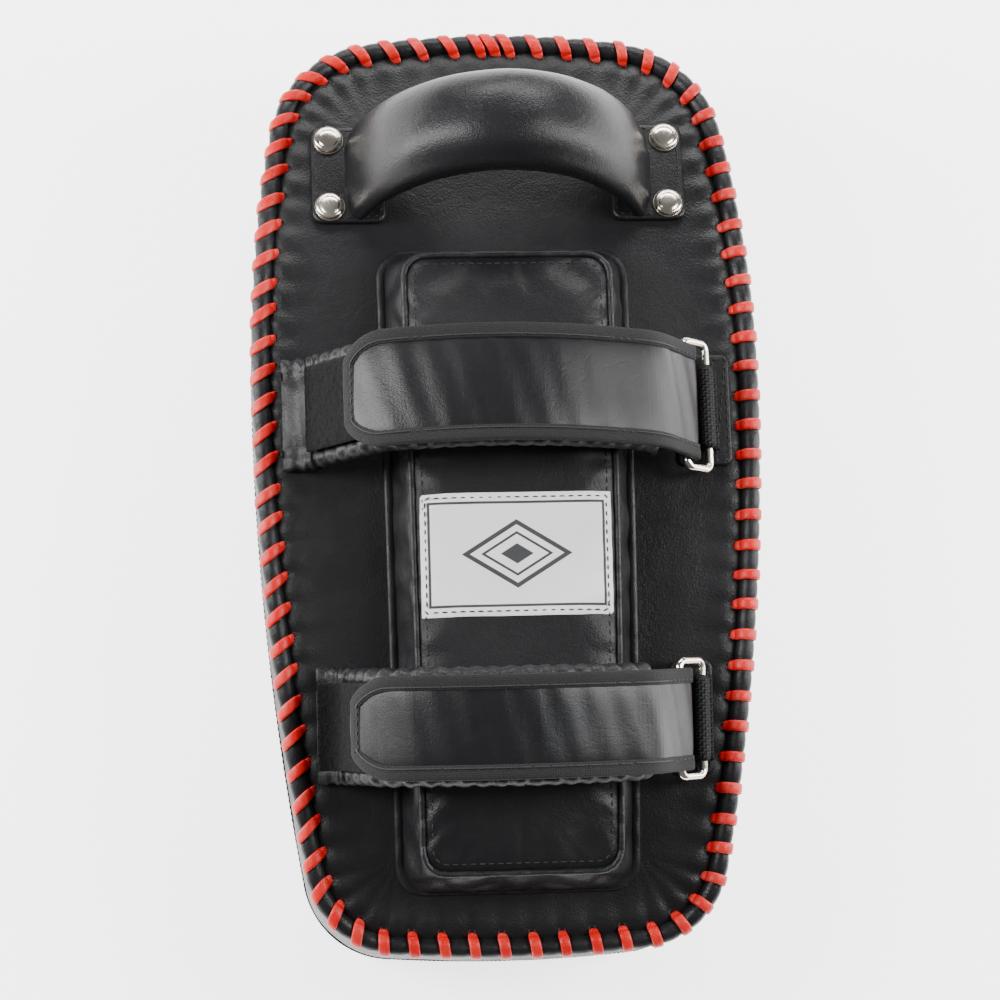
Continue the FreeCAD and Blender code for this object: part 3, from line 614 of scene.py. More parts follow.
def label_material():
    """A white woven patch: a dark border line and three nested lozenges."""
    mat, t, shader, coords = start_material("woven_patch", {"Sheen Weight": 0.15})
    weave = group_node(t, "Plain weave", Vector=coords["UV"], Thread=0.45 * MM)
    marks = group_node(t, "Handling marks", Vector=coords["Object"], Size=0.03)
    parts = t.add("ShaderNodeSeparateXYZ", {"Vector": coords["UV"]}).outputs
    low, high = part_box("label_patch")
    half_u, half_v = (high[0] - low[0]) / 2, (high[1] - low[1]) / 2
    u = t.math("ABSOLUTE", parts["X"])
    v = t.math("ABSOLUTE", parts["Y"])
    inset = t.math("MINIMUM", t.math("SUBTRACT", half_u, u), t.math("SUBTRACT", half_v, v))

    def line(value, centre, half):
        off = t.math("ABSOLUTE", t.math("SUBTRACT", value, centre))
        return t.band(off, half, half * 1.35, 1.0, 0.0)

    border = line(inset, 4.2 * MM, 0.45 * MM)
    reach = t.math("ADD", t.math("MULTIPLY", u, 0.62), v)
    lozenge = t.math("MAXIMUM", line(reach, 13.0 * MM, 0.9 * MM), line(reach, 8.6 * MM, 0.5 * MM))
    heart = t.band(reach, 4.0 * MM, 4.4 * MM, 1.0, 0.0)
    ink = t.math("MAXIMUM", border, t.math("MAXIMUM", lozenge, heart))
    colour = colours().patch
    cloth = t.blend(weave["Tone"], rgba(colour, 0.82), rgba(colour, 1.06))
    cloth = t.blend(t.math("MULTIPLY", marks["Smudge"], 0.12), cloth, (0.55, 0.54, 0.5, 1.0))
    t.put(shader["Base Color"], t.blend(ink, cloth, (0.03, 0.032, 0.036, 1.0)))
    t.put(shader["Roughness"], t.math("MULTIPLY_ADD", weave["Tone"], -0.1, 0.78))
    add_bump(t, shader, t.math("MULTIPLY_ADD", ink, 0.4, weave["Height"]), 0.00012)
    return mat


def fuzz_material(name, colour):
    mat, t, shader, coords = start_material(
        name, {"Sheen Weight": 0.02, "Sheen Roughness": 0.5, "Specular IOR Level": 0.1})
    at = coords["Object"]
    loops = t.add("ShaderNodeTexVoronoi", {"Vector": at, "Scale": 1500.0}).outputs["Distance"]
    tufts = t.noise(at, 420.0, 4.0, 0.7)
    t.put(shader["Base Color"], t.blend(tufts, rgba(colour, 0.25), rgba(colour, 1.4)))
    t.put(shader["Roughness"], t.math("MULTIPLY_ADD", tufts, 0.1, 0.88))
    add_bump(t, shader, t.math("ADD", tufts, t.math("MULTIPLY", loops, 0.6)), 0.0006)
    return mat


def foam_material():
    mat, t, shader, coords = start_material("closed_cell_foam", {})
    pores = t.add("ShaderNodeTexVoronoi", {"Vector": coords["Object"], "Scale": 900.0}).outputs["Distance"]
    t.put(shader["Base Color"], t.blend(pores, (0.10, 0.10, 0.11, 1), (0.17, 0.17, 0.18, 1)))
    t.put(shader["Roughness"], t.math("MULTIPLY_ADD", pores, 0.1, 0.82))
    add_bump(t, shader, pores, 0.0002)
    return mat


def lace_material():
    mat, t, shader, coords = start_material(
        "red_lace", {"IOR": 1.45, "Specular IOR Level": 0.3, "Coat Roughness": 0.3})
    colour = colours().lace
    at = coords["Object"]
    grain = group_node(t, "Leather grain", Vector=at, Cell=0.5 * MM, Crease=0.008)
    marks = group_node(t, "Handling marks", Vector=at, Size=0.025)
    edge = group_node(t, "Edge wear", Vector=at, Amount=0.35)
    base = t.blend(grain["Tone"], rgba(colour, 0.72), rgba(colour, 1.12))
    base = t.blend(t.math("MULTIPLY", marks["Smudge"], 0.25), base, rgba(colour, 0.6))
    base = t.blend(edge["Mask"], base, (0.85, 0.14, 0.10, 1.0))
    t.put(shader["Base Color"], base)
    t.put(shader["Roughness"], t.math("MULTIPLY_ADD", marks["Smudge"], 0.14, 0.33))
    t.put(shader["Coat Weight"], t.math("MULTIPLY", marks["Smudge"], 0.2))
    add_bump(t, shader, grain["Height"], 0.00008)
    return mat


def make_material(name):
    s, c = sizes(), colours()
    leather = c.leather
    return {
        "leather": lambda: leather_material("pad_leather", leather, s.grain_cell, 0.00011, (0.36, 0.52)),
        "wall_leather": lambda: leather_material(
            "wall_leather", leather, s.grain_cell * 1.2, 0.00016, (0.4, 0.56)),
        "roll_leather": lambda: leather_material(
            "edge_roll_leather", leather, s.grain_cell * 0.8, 0.0001, (0.34, 0.46), wear=0.7),
        "cushion_leather": lambda: leather_material(
            "cushion_leather", leather, s.grain_cell * 0.9, 0.0001, (0.34, 0.48), crease=0.02),
        "handle_leather": lambda: leather_material(
            "handle_leather", leather, s.grain_cell * 0.7, 0.00008, (0.3, 0.42), crease=0.015, wear=0.6),
        "vinyl": lambda: leather_material(
            "coated_strap", leather, s.grain_cell * 0.6, 0.00004, (0.3, 0.42), crease=0.012, wear=0.5),
        "band_leather": lambda: leather_material(
            "arm_band_leather", leather, s.grain_cell * 0.8, 0.0001, (0.36, 0.5), crease=0.012, wear=0.6),
        "binding": lambda: woven_material("strap_binding", c.binding, s.weave_thread, 0.00016, 0.78),
        "webbing": lambda: woven_material("keeper_webbing", c.binding, s.weave_thread * 1.8, 0.0004, 0.7),
        "thread": lambda: woven_material("sewing_thread", c.thread, 0.3 * MM, 0.00003, 0.55),
        "hook": lambda: fuzz_material("hook_tape", c.binding),
        "loop": lambda: fuzz_material("loop_tape", c.binding),
        "metal": lambda: metal_material("nickel_plate", c.metal),
        "lace": lace_material,
        "label": label_material,
        "foam": foam_material,
        "board": lambda: leather_material("fibre_board", (0.2, 0.13, 0.07), 2 * MM, 0.0001, (0.7, 0.8)),
    }[name]()


def material(name):
    if name not in MATERIALS:
        MATERIALS[name] = make_material(name)
    return MATERIALS[name]


# ---------------------------------------------------------------- shell, back and edge

WALL_ROUND = 5.5 * MM
WALL_BULGE = 1.5 * MM
WALL_FOLDS, FOLD_DEPTH = 37, 0.25 * MM
ROLL_MIDDLE_IN = 1.9 * MM
ROLL_RADIUS = 3.6 * MM
ROLL_RISE = 0.4 * MM
HOLE_INSET = 7.4 * MM
HOLE_DEPTH = 10.5 * MM
PANEL_INSET = 4.6 * MM


def stitch_count():
    """Whip stitches round the whole edge: the same whole number on both halves."""
    return 2 * round(HALF_RUN / sizes().lace_pitch)


def stitch_wave(run):
    """1 at each whip stitch and -1 half-way between two of them."""
    return np.cos(2 * math.pi * (run / FULL_RUN * stitch_count() - 0.5))


def shell_surface():
    """Rings of points from under the edge roll, down the wall and in to the middle of the face."""
    columns = stitch_count() * 6
    run = np.arange(columns) * FULL_RUN / columns
    wave = stitch_wave(run + slant_reach(run) * 0.5)
    rings = []

    def ring(out, z):
        xy, normal = outline(run, out)
        edge, _ = outline(run)
        return np.column_stack([xy, z(edge[:, 1])])

    rings.append(ring(-3 * MM, lambda y: back_z(y) - 2.0 * MM))
    rings.append(ring(-0.6 * MM, lambda y: back_z(y) - 2.6 * MM))
    for f in np.linspace(0.02, 1, 22):
        swell = WALL_BULGE * math.sin(math.pi * f) ** 0.7
        pull = wave * 0.55 * MM * bell(f, 0.13, 0.07)
        phase = run / FULL_RUN * 2 * math.pi * WALL_FOLDS + 3 * math.sin(5 * f)
        folds = FOLD_DEPTH * np.sin(phase) * math.sin(math.pi * f)
        rings.append(ring(swell - pull + folds, lambda y, f=f: (
            (back_z(y) - 3 * MM) * (1 - f) + (face_z(y) + WALL_ROUND) * f)))
    for angle in np.linspace(0, math.pi / 2, 6)[1:]:
        rings.append(ring(WALL_ROUND * (math.cos(angle) - 1), lambda y, a=angle: (
            face_z(y) + WALL_ROUND * (1 - math.sin(a)))))
    rim = rings[-1]
    for k in np.linspace(1, 0.03, 26)[1:]:
        inner = rim * np.array([k, k, 1])
        soft = 0.5 * MM * (1 + smooth_noise(inner * np.array([1, 1, 0]), 0.11, 3)) * min(1, 6 * (1 - k))
        inner[:, 2] = face_z(inner[:, 1]) + soft
        rings.append(inner)
    points = np.array(rings)
    unevenness = smooth_noise(points, 0.07, 1) * 0.25 * MM
    _, normal = outline(run)
    points[2:24, :, :2] += normal[None] * unevenness[2:24, :, None]
    return points


def build_shell():
    shell = filled_loop("pad_shell", shell_surface(), material("wall_leather"))
    on_body(shell, "pad", "leather", "striking_face", "side_wall")
    run = np.arange(400) * FULL_RUN / 400
    xy, normal = outline(run, -0.6 * MM)
    line = np.column_stack([xy, face_z(xy[:, 1]) + 2.1 * MM])
    up = np.column_stack([normal, np.zeros(len(run))])
    piping = tube("face_piping", line, up, 1.7 * MM, material("roll_leather"), closed=True)
    on_body(piping, "pad", "leather", "face_welt")
    lines = []
    for height, out in ((7.5 * MM, 0.75 * MM), (13 * MM, 1.2 * MM)):
        xy, normal = outline(run, out)
        edge, _ = outline(run)
        lines.append((np.column_stack([xy, face_z(edge[:, 1]) + height]),
                      np.column_stack([normal, np.zeros(len(run))])))
    on_body(thread_row("wall_stitching", lines, closed=True), "pad", "binding")


def build_back_panel():
    """The back: puffed between the lace holes, drawn down at each hole, flat inside."""
    columns = stitch_count() * 8
    run = np.arange(columns) * FULL_RUN / columns
    wave = stitch_wave(run - slant_reach(run) * 0.5)
    rings = []
    insets = np.concatenate([np.linspace(PANEL_INSET, 14 * MM, 12), np.linspace(16 * MM, 30 * MM, 6)])
    for inset in insets:
        xy, _ = outline(run, -inset)
        hole = -1.0 * MM * np.clip(wave, 0, 1) ** 4 * bell(inset, HOLE_INSET, 2.2 * MM)
        puff = 0.75 * MM * bell(inset, 11.5 * MM, 4.5 * MM) * (0.75 - 0.35 * wave)
        ray = -0.35 * MM * wave * math.exp(-(inset - PANEL_INSET) / (9 * MM))
        sunk = -1.1 * MM * bell(inset, PANEL_INSET, 2.4 * MM)
        points = np.column_stack([xy, np.zeros(columns)])
        w = hole + puff + ray + sunk + 0.12 * MM * smooth_noise(points, 0.03, 5)
        points[:, 2] = back_z(xy[:, 1]) + w
        rings.append(points)
    rim = rings[-1]
    for k in np.linspace(1, 0.02, 22)[1:]:
        inner = rim * np.array([k, k, 1])
        flat = inner * np.array([1, 1, 0])
        fade = min(1, 8 * (1 - k))
        w = fade * (0.16 * MM * smooth_noise(flat, 0.045, 6) - 0.16 * MM)
        inner[:, 2] = back_z(inner[:, 1]) + w
        rings.append(inner)
    panel = filled_loop("back_leather", np.array(rings), material("leather"))
    on_body(panel, "pad", "leather", "back_panel")


def roll_point(run, angle, swell=1.0):
    """A point on the edge roll, and its direction from the roll's middle: angle 0 is outwards."""
    edge, normal = outline(run)
    out = -ROLL_MIDDLE_IN + ROLL_RADIUS * swell * np.cos(angle)
    up = ROLL_RISE + ROLL_RADIUS * 0.92 * swell * np.sin(angle)
    xy = edge + normal * np.broadcast_to(out, normal.shape[:1])[:, None]
    return np.column_stack([xy, back_z(edge[:, 1]) + up])


def build_edge_roll():
    """The rolled edge, nipped in under each stitch and swollen between them."""
    columns = stitch_count() * 10
    run = np.arange(columns) * FULL_RUN / columns
    wave = stitch_wave(run)
    xy, _ = outline(run)
    loose = 0.03 * smooth_noise(np.column_stack([xy, 0 * run]), 0.05, 8)
    swell = 1.02 - 0.11 * np.clip(wave, -0.6, 1) + loose
    rings = np.stack([roll_point(run, a, swell) for a in np.linspace(-0.6 * math.pi, 1.25 * math.pi, 18)], 1)
    roll = grid_object("edge_roll", rings, material("roll_leather"), close_rows=True)
    on_body(roll, "pad", "leather", "edge_binding")


def slant_reach(run):
    """How far a stitch's outer end lies behind its inner end, along the edge."""
    _, normal = outline(run)
    degrees = 22 - 18 * normal[:, 0] + 10 * normal[:, 1]
    return np.tan(np.radians(degrees)) * 8.5 * MM


def lace_path(run, rng):
    """One whip stitch from its hole in the back, over the roll and down to its hole in the wall."""
    reach = float(slant_reach(run)[0]) * (1 + rng.normal(0, 0.08))
    lean = rng.normal(0, 0.35 * MM)
    lift = sizes().lace_thickness / 2 + 0.15 * MM + abs(rng.normal(0, 0.12 * MM))
    angles = np.linspace(0.98 * math.pi, -0.12 * math.pi, 13)
    over = [(-ROLL_MIDDLE_IN + (ROLL_RADIUS * 0.9 + lift) * math.cos(a),
             ROLL_RISE + (ROLL_RADIUS * 0.84 + lift) * math.sin(a)) for a in angles]
    first = [(-HOLE_INSET - 0.6 * MM, -2.4 * MM), (-HOLE_INSET - 0.3 * MM, -0.6 * MM),
             (-HOLE_INSET + 0.5 * MM, 0.5 * MM)]
    last = [(1.5 * MM, -3.6 * MM), (1.35 * MM, -6.2 * MM), (1.2 * MM, -8.6 * MM),
            (0.3 * MM, -HOLE_DEPTH), (-1.6 * MM, -HOLE_DEPTH - 1.2 * MM)]
    line = resample(np.array(first + over + last), 0.9 * MM)
    outwards = np.maximum.accumulate(line[:, 0])
    share = (outwards - outwards[0]) / (outwards[-1] - outwards[0])
    runs = run + lean + reach * (0.5 - share)
    edge, normal = outline(runs)
    xy = edge + normal * line[:, :1]
    inside = np.minimum(line[:, 0], 0)
    z = back_z(edge[:, 1] + normal[:, 1] * inside) + line[:, 1]
    points = np.column_stack([xy, z])
    middle = edge - normal * ROLL_MIDDLE_IN
    hub = np.column_stack([middle, back_z(edge[:, 1]) + ROLL_RISE])
    hub[line[:, 1] < -1.5 * MM, 2] = z[line[:, 1] < -1.5 * MM]
    up = points - hub
    flat_start = line[:, 0] < -HOLE_INSET + 1.6 * MM
    up[flat_start] += np.array([0, 0, 2 * MM])
    up /= np.linalg.norm(up, axis=1, keepdims=True)
    return points, up


def ribbon(points, up, width, thickness, sides=12):
    """Rings of a flat lace: a rounded oblong section, narrow where it enters its holes."""
    _, side, normal = frames_along(points, up)
    angle = np.arange(sides) * 2 * math.pi / sides + math.pi / sides
    c, s = np.cos(angle), np.sin(angle)
    across = np.sign(c) * np.abs(c) ** 0.5 * width / 2
    thick = np.sign(s) * np.abs(s) ** 0.7 * thickness / 2
    share = np.linspace(0, 1, len(points))
    pinch = 1 - 0.38 * (bell(share, 0, 0.09) + bell(share, 1, 0.09))
    cup = -0.1 * (across / width * 2) ** 2 * thickness
    rings = (points[:, None] + side[:, None] * (across[None, :] * pinch[:, None])[:, :, None]
             + normal[:, None] * (thick + cup)[None, :, None])
    return rings


def build_edge_lace():
    s = sizes()
    rng = np.random.default_rng(SEED)
    count = stitch_count()
    verts, faces = [], []
    sides = 12
    for i in range(count + 1):
        run = (i + 0.5) * FULL_RUN / count if i < count else 0.0
        points, up = lace_path(run, rng)
        rings = ribbon(points, up, s.lace_width * (1 + rng.normal(0, 0.03)), s.lace_thickness, sides)
        base = len(verts)
        verts += list(rings.reshape(-1, 3))
        for j in range(len(rings) - 1):
            for k in range(sides):
                m = (k + 1) % sides
                a, b = base + j * sides, base + (j + 1) * sides
                faces.append((a + k, a + m, b + m, b + k))
        faces.append(tuple(range(base, base + sides)))
        faces.append(tuple(range(len(verts) - sides, len(verts))))
        if i == count - 1:
            whole = mesh_object("edge_lace_stitches", verts, faces, material("lace"))
            verts, faces = [], []
    lock = mesh_object("lace_lock", verts, faces, material("lace"))
    on_body(whole, "pad", "lace", "edge_lace")
    on_body(lock, "pad", "lace", "lace_lock_stitch")
    build_punched_holes()


def build_punched_holes():
    """A small raw-edged ring where each stitch comes out of the back."""
    count = stitch_count()
    run = (np.arange(count) + 0.5) * FULL_RUN / count
    run = run + slant_reach(run) * 0.5
    xy, _ = outline(run, -HOLE_INSET - 0.9 * MM)
    verts, faces = [], []
    around, section = 12, 6
    for x, y in xy:
        centre = np.array([x, y, back_z(y) - 0.25 * MM])
        base = len(verts)
        for i in range(around):
            a = i * 2 * math.pi / around
            for j in range(section):
                b = j * 2 * math.pi / section
                r = 1.35 * MM + 0.28 * MM * math.cos(b)
                verts.append(centre + np.array([r * math.cos(a), r * math.sin(a), 0.28 * MM * math.sin(b)]))
        for i in range(around):
            for j in range(section):
                a, b = base + i * section, base + (i + 1) % around * section
                k = (j + 1) % section
                faces.append((a + j, a + k, b + k, b + j))
    on_body(mesh_object("lace_holes", verts, faces, material("thread")), "pad", "leather")


# ---------------------------------------------------------------- places on the curved back

class Station:
    """Local axes (x, v, w) at a place along the back: v along the pad, w out of the back."""

    def __init__(self, tilt):
        self.tilt = tilt
        self.along = np.array([0, math.cos(tilt), -math.sin(tilt)])
        self.out = np.array([0, math.sin(tilt), math.cos(tilt)])

    def world(self, x, v, w):
        x, v, w = np.broadcast_arrays(x, v, w)
        base = np.array([0, 0, AXIS_Z]) + self.out * (BACK_RADIUS + w[..., None]) + self.along * v[..., None]
        base[..., 0] += x
        return base

    def local(self, point):
        p = np.asarray(point, float) - np.array([0, 0, AXIS_Z])
        return p[..., 0], p @ self.along, p @ self.out - BACK_RADIUS


def rounded_path(points, bends, spacing=1.0 * MM):
    """Straight runs joined by tangent arcs, as evenly spaced points with left-hand normals."""
    points = [np.array(p, float) for p in points]
    runs = [(b - a) / np.linalg.norm(b - a) for a, b in zip(points, points[1:])]
    lengths = [np.linalg.norm(b - a) for a, b in zip(points, points[1:])]
    half = [math.tan(math.acos(min(1, a @ b)) / 2) for a, b in zip(runs, runs[1:])]
    reach = [0.0] + [r * t for r, t in zip(bends, half)] + [0.0]
    room = [0.98 * n / max(a + b, n * 0.01) for n, a, b in zip(lengths, reach, reach[1:])]
    line = [points[0]]
    for i, radius in enumerate(bends):
        radius *= min(1.0, room[i], room[i + 1])
        d1, d2 = runs[i], runs[i + 1]
        start = points[i + 1] - d1 * radius * half[i]
        side = 1 if d1[0] * d2[1] - d1[1] * d2[0] > 0 else -1
        centre = start + side * radius * np.array([-d1[1], d1[0]])
        turn = 2 * math.atan(half[i]) * side
        for share in np.linspace(0, 1, 12):
            c, s = math.cos(turn * share), math.sin(turn * share)
            arm = start - centre
            line.append(centre + np.array([c * arm[0] - s * arm[1], s * arm[0] + c * arm[1]]))
    line.append(points[-1])
    line = resample(np.array(line), spacing)
    return line, left_normals(line)


def relaxed(line, times):
    """The line with its bends eased; its two ends stay."""
    kernel = np.array([0.25, 0.5, 0.25])
    for _ in range(times):
        inner = np.stack([np.convolve(line[:, i], kernel, mode="valid") for i in range(2)], -1)
        line = np.vstack([line[:1], inner, line[-1:]])
    return line


def left_normals(line):
    tangent = np.gradient(line, axis=0)
    tangent /= np.linalg.norm(tangent, axis=1, keepdims=True)
    return np.column_stack([-tangent[:, 1], tangent[:, 0]])


def swept(name, station, line, normals, section, mat, caps=("first", "last")):
    """Rings along a line in the x-w plane; section(i) gives (v, h) with h along the normal."""
    rings, uvs = [], []
    run = run_of(line)
    for i, (p, n) in enumerate(zip(line, normals)):
        v, h = section(i)
        rings.append(station.world(p[0] + n[0] * h, v, p[1] + n[1] * h))
        uvs.append(np.column_stack([np.full(len(v), run[i]), v]))
    return grid_object(name, np.array(rings), mat, close_columns=True, caps=caps, uvs=np.array(uvs))


def oblong(half_v, low, high, count=36, power=0.35):
    """A rounded oblong section: evenly spaced (v, h) points round it."""
    angle = np.arange(180) * 2 * math.pi / 180
    c, s = np.cos(angle), np.sin(angle)
    v = np.sign(c) * np.abs(c) ** power * half_v
    h = (low + high) / 2 + np.sign(s) * np.abs(s) ** (power * 1.6) * (high - low) / 2
    return resample(np.column_stack([v, h]), None, closed=True, count=count).T


def rounded_oblong(half_x, half_v, corner, steps):
    points = []
    for sx, sv, start in ((1, 1, 0), (-1, 1, 90), (-1, -1, 180), (1, -1, 270)):
        for a in np.radians(np.linspace(start, start + 90, steps)):
            points.append((sx * (half_x - corner) + corner * math.cos(a),
                           sv * (half_v - corner) + corner * math.sin(a)))
    return np.array(points)


def plate(name, station, x1, x2, half_v, low, high, corner, mat, puff=0.0):
    """A flat leather piece with round corners and a rounded edge, resting on the back."""
    rings, uvs = [], []
    middle, half_x = (x1 + x2) / 2, abs(x2 - x1) / 2
    loop = resample(rounded_oblong(half_x, half_v, corner, 10), 2 * MM, closed=True)
    edge = min(0.45 * (high - low), 0.8 * MM)
    reach = np.array([half_x, half_v])
    for inset, h in ((0.3 * edge, low), (0, low + edge), (0, high - edge), (0.35 * edge, high - 0.3 * edge),
                     (1.2 * edge, high)):
        ring = loop * (1 - inset / reach)
        rings.append(station.world(middle + ring[:, 0], ring[:, 1], h))
        uvs.append(ring)
    for k in (0.93, 0.86, 0.7, 0.5, 0.3, 0.1):
        ring = loop * (1 - 1.2 * edge / reach) * k
        rings.append(station.world(middle + ring[:, 0], ring[:, 1], high + puff * (1 - k)))
        uvs.append(ring)
    return filled_loop(name, np.array(rings), mat, np.array(uvs))


def joint_of(name):
    return next(j for j in frame["joints"] if j["name"] == name)


# ---------------------------------------------------------------- handle

HANDLE_RISE, HANDLE_FOOT = 45 * MM, 11 * MM
HANDLE_REACH = 56 * MM
HANDLE_ARC, HANDLE_ARC_END = math.radians(60), math.radians(68.5)
HANDLE_HALF_WIDTH, HANDLE_HALF_THICK, HANDLE_END_THICK = 21.5 * MM, 15.6 * MM, 6 * MM
TAB_FOOT, TAB_TOP = 0.1 * MM, 3.0 * MM
THREAD_LIFT = 0.1 * MM


def handle_station():
    low, high = corners_of("handle_tab_left")
    return Station(math.asin((low[1] + high[1]) / 2 / (BACK_RADIUS + TAB_TOP / 2)))


def handle_line(arc):
    x = HANDLE_REACH * np.sin(arc) / math.sin(HANDLE_ARC)
    w = HANDLE_FOOT + HANDLE_RISE * (np.cos(arc) - math.cos(HANDLE_ARC)) / (1 - math.cos(HANDLE_ARC))
    return np.column_stack([x, w])


def build_handle():
    station = handle_station()
    arcs = np.linspace(-HANDLE_ARC_END, HANDLE_ARC_END, 90)
    line = handle_line(arcs)
    normals = left_normals(line)
    run = run_of(line)
    count = 56
    angle = np.arange(count) * 2 * math.pi / count
    swell = np.clip(np.cos(arcs * (math.pi / 2) / HANDLE_ARC), 0, 1)
    thick = HANDLE_END_THICK + (HANDLE_HALF_THICK - HANDLE_END_THICK) * swell

    def section(i):
        foot = 1 - min(1, (HANDLE_ARC_END - abs(arcs[i])) / math.radians(30))
        c, s = np.cos(angle), np.sin(angle)
        v = np.sign(c) * np.abs(c) ** 0.85 * (HANDLE_HALF_WIDTH - 0.3 * MM)
        h = np.sign(s) * np.abs(s) ** 0.95 * (thick[i] - 0.2 * MM)
        pleats = 1 + 0.06 * foot ** 1.5 * np.sin(9 * angle + 2.0 * np.sign(arcs[i])) * np.abs(s)
        under = np.clip(-s, 0, 1)
        creases = 0.5 * MM * under ** 2 * np.sin(run[i] / (7.5 * MM) * 2 * math.pi) * swell[i]
        seam = -0.8 * MM * bell(angle, 1.5 * math.pi, 0.06)
        return v * pleats, h * pleats - creases - seam

    grip = swept("handle_grip", station, line, normals, section, material("handle_leather"))
    points = get_points(grip.data)
    x, v, w = station.local(points)
    w = np.maximum(w, TAB_TOP - 0.6 * MM)
    moved = station.world(x, v, w)
    moved += 0.25 * MM * smooth_noise(points, 0.025, 11)[:, None] * station.out
    set_points(grip.data, moved)
    on_body(grip, "pad", "leather", "handle_cover", "handle_core")

    low = line - normals * (thick + THREAD_LIFT)[:, None]
    keep = (run > 14 * MM) & (run < run[-1] - 14 * MM)
    lines = []
    for v in (-2.2 * MM, 2.2 * MM):
        points = station.world(low[keep, 0], v, low[keep, 1])
        up = -(normals[keep, :1] * np.array([1, 0, 0]) + normals[keep, 1:] * station.out)
        lines.append((points, up))
    on_body(thread_row("handle_seam_stitching", lines), "pad", "binding")

    for label in ("left", "right"):
        low, high = corners_of("handle_tab_" + label)
        half_v = (high[1] - low[1]) / 2 / math.cos(station.tilt) - 0.3 * MM
        tab = plate("handle_tab_leather_" + label, station, low[0], high[0], half_v, TAB_FOOT, TAB_TOP,
                    4 * MM, material("handle_leather"), puff=0.25 * MM)
        on_body(tab, "pad", "leather", "handle_tab_" + label)
        edge = plate_stitch_line(station, low[0], high[0], half_v, TAB_TOP + 0.05 * MM, 2.2 * MM, 3 * MM)
        on_body(thread_row("tab_stitching_" + label, [edge], closed=True), "pad", "binding")
    build_rivets(station)


def plate_stitch_line(station, x1, x2, half_v, height, inset, corner):
    """A closed stitch line just inside a plate's edge."""
    half_x, middle = abs(x2 - x1) / 2 - inset, (x1 + x2) / 2
    loop = resample(rounded_oblong(half_x, half_v - inset, corner, 5), 1 * MM, closed=True)
    points = station.world(middle + loop[:, 0], loop[:, 1], height)
    return points, np.tile(station.out, (len(points), 1))


def build_rivets(station):
    """Domed rivet heads with a bevelled rim, turned on the CAD rivets' own axes."""
    x, v, w = station.local(node_points("rivet_caps"))
    seat = w.min()
    radius = (x[x > 0].max() - x[x > 0].min()) / 2
    profile = np.array([(0.0, 2.35), (0.25, 2.33), (0.5, 2.2), (0.66, 1.98), (0.70, 1.80), (0.74, 1.78),
                        (0.82, 1.76), (0.93, 1.35), (1.0, 0.75), (1.0, 0.25), (0.97, 0.0)])
    around = 48
    verts, faces = [], []
    for sx in (-1, 1):
        for sv in (-1, 1):
            mine = (np.sign(x) == sx) & (np.sign(v) == sv)
            cx, cv = (x[mine].max() + x[mine].min()) / 2, (v[mine].max() + v[mine].min()) / 2
            base = len(verts)
            verts.append(station.world(cx, cv, seat + profile[0, 1] * MM))
            for r, h in profile[1:]:
                for a in np.arange(around) * 2 * math.pi / around:
                    verts.append(station.world(cx + r * radius * math.cos(a), cv + r * radius * math.sin(a),
                                               seat + h * MM))
            faces += [(base, base + 1 + k, base + 1 + (k + 1) % around) for k in range(around)]
            for i in range(len(profile) - 2):
                a, b = base + 1 + i * around, base + 1 + (i + 1) * around
                faces += [(a + k, a + (k + 1) % around, b + (k + 1) % around, b + k) for k in range(around)]
            last = base + 1 + (len(profile) - 2) * around
            faces.append(tuple(last + k for k in range(around)))
    caps = mesh_object("rivet_heads", verts, faces, material("metal"))
    on_body(caps, "pad", "nickel", "rivet_caps")


# ---------------------------------------------------------------- filled covers

def pressed(obj, pinned, pressure, cap, grow=0.03):
    """Fill a cover like a cushion: cloth with inside pressure, its seams (pinned) held still."""
    rest = get_points(obj.data)
    held = obj.vertex_groups.new(name="seams")
    held.add([int(i) for i in pinned], 1.0, "REPLACE")
    cloth = obj.modifiers.new("Cloth", "CLOTH")
    cloth.settings.quality = 5
    cloth.settings.mass = 0.15
    cloth.settings.tension_stiffness = 12
    cloth.settings.compression_stiffness = 8
    cloth.settings.shear_stiffness = 4
    cloth.settings.bending_stiffness = 0.8
    cloth.settings.vertex_group_mass = held.name
    cloth.settings.use_pressure = True
    cloth.settings.uniform_pressure_force = pressure
    cloth.settings.shrink_min = -grow
    cloth.settings.effector_weights.gravity = 0.0
    cloth.collision_settings.use_collision = False
    scene = bpy.context.scene
    for number in range(1, 21):
        scene.frame_set(number)
    depsgraph = bpy.context.evaluated_depsgraph_get()
    filled = obj.evaluated_get(depsgraph).to_mesh()
    moved = get_points(filled)
    obj.evaluated_get(depsgraph).to_mesh_clear()
    obj.modifiers.remove(cloth)
    obj.vertex_groups.remove(held)
    scene.frame_set(1)
    step = moved - rest
    length = np.linalg.norm(step, axis=1, keepdims=True)
    step *= np.where(length > 1e-9, cap * np.tanh(length / cap) / np.maximum(length, 1e-9), 1.0)
    return rest + step


def smoother(obj, levels=1):
    """Subdivide a finished cover so that its folds shade softly."""
    modifier = obj.modifiers.new("Soft", "SUBSURF")
    modifier.levels = modifier.render_levels = levels
    modifier.boundary_smooth = "PRESERVE_CORNERS"
    depsgraph = bpy.context.evaluated_depsgraph_get()
    mesh = bpy.data.meshes.new_from_object(obj.evaluated_get(depsgraph))
    obj.modifiers.remove(modifier)
    obj.data = mesh


# ---------------------------------------------------------------- cushion and patch

CUSHION_TAPER = 2.5 * MM
PANEL_HALF = 42.6 * MM
CUSHION_ROWS = 8
FOOT_GAP = 0.6 * MM


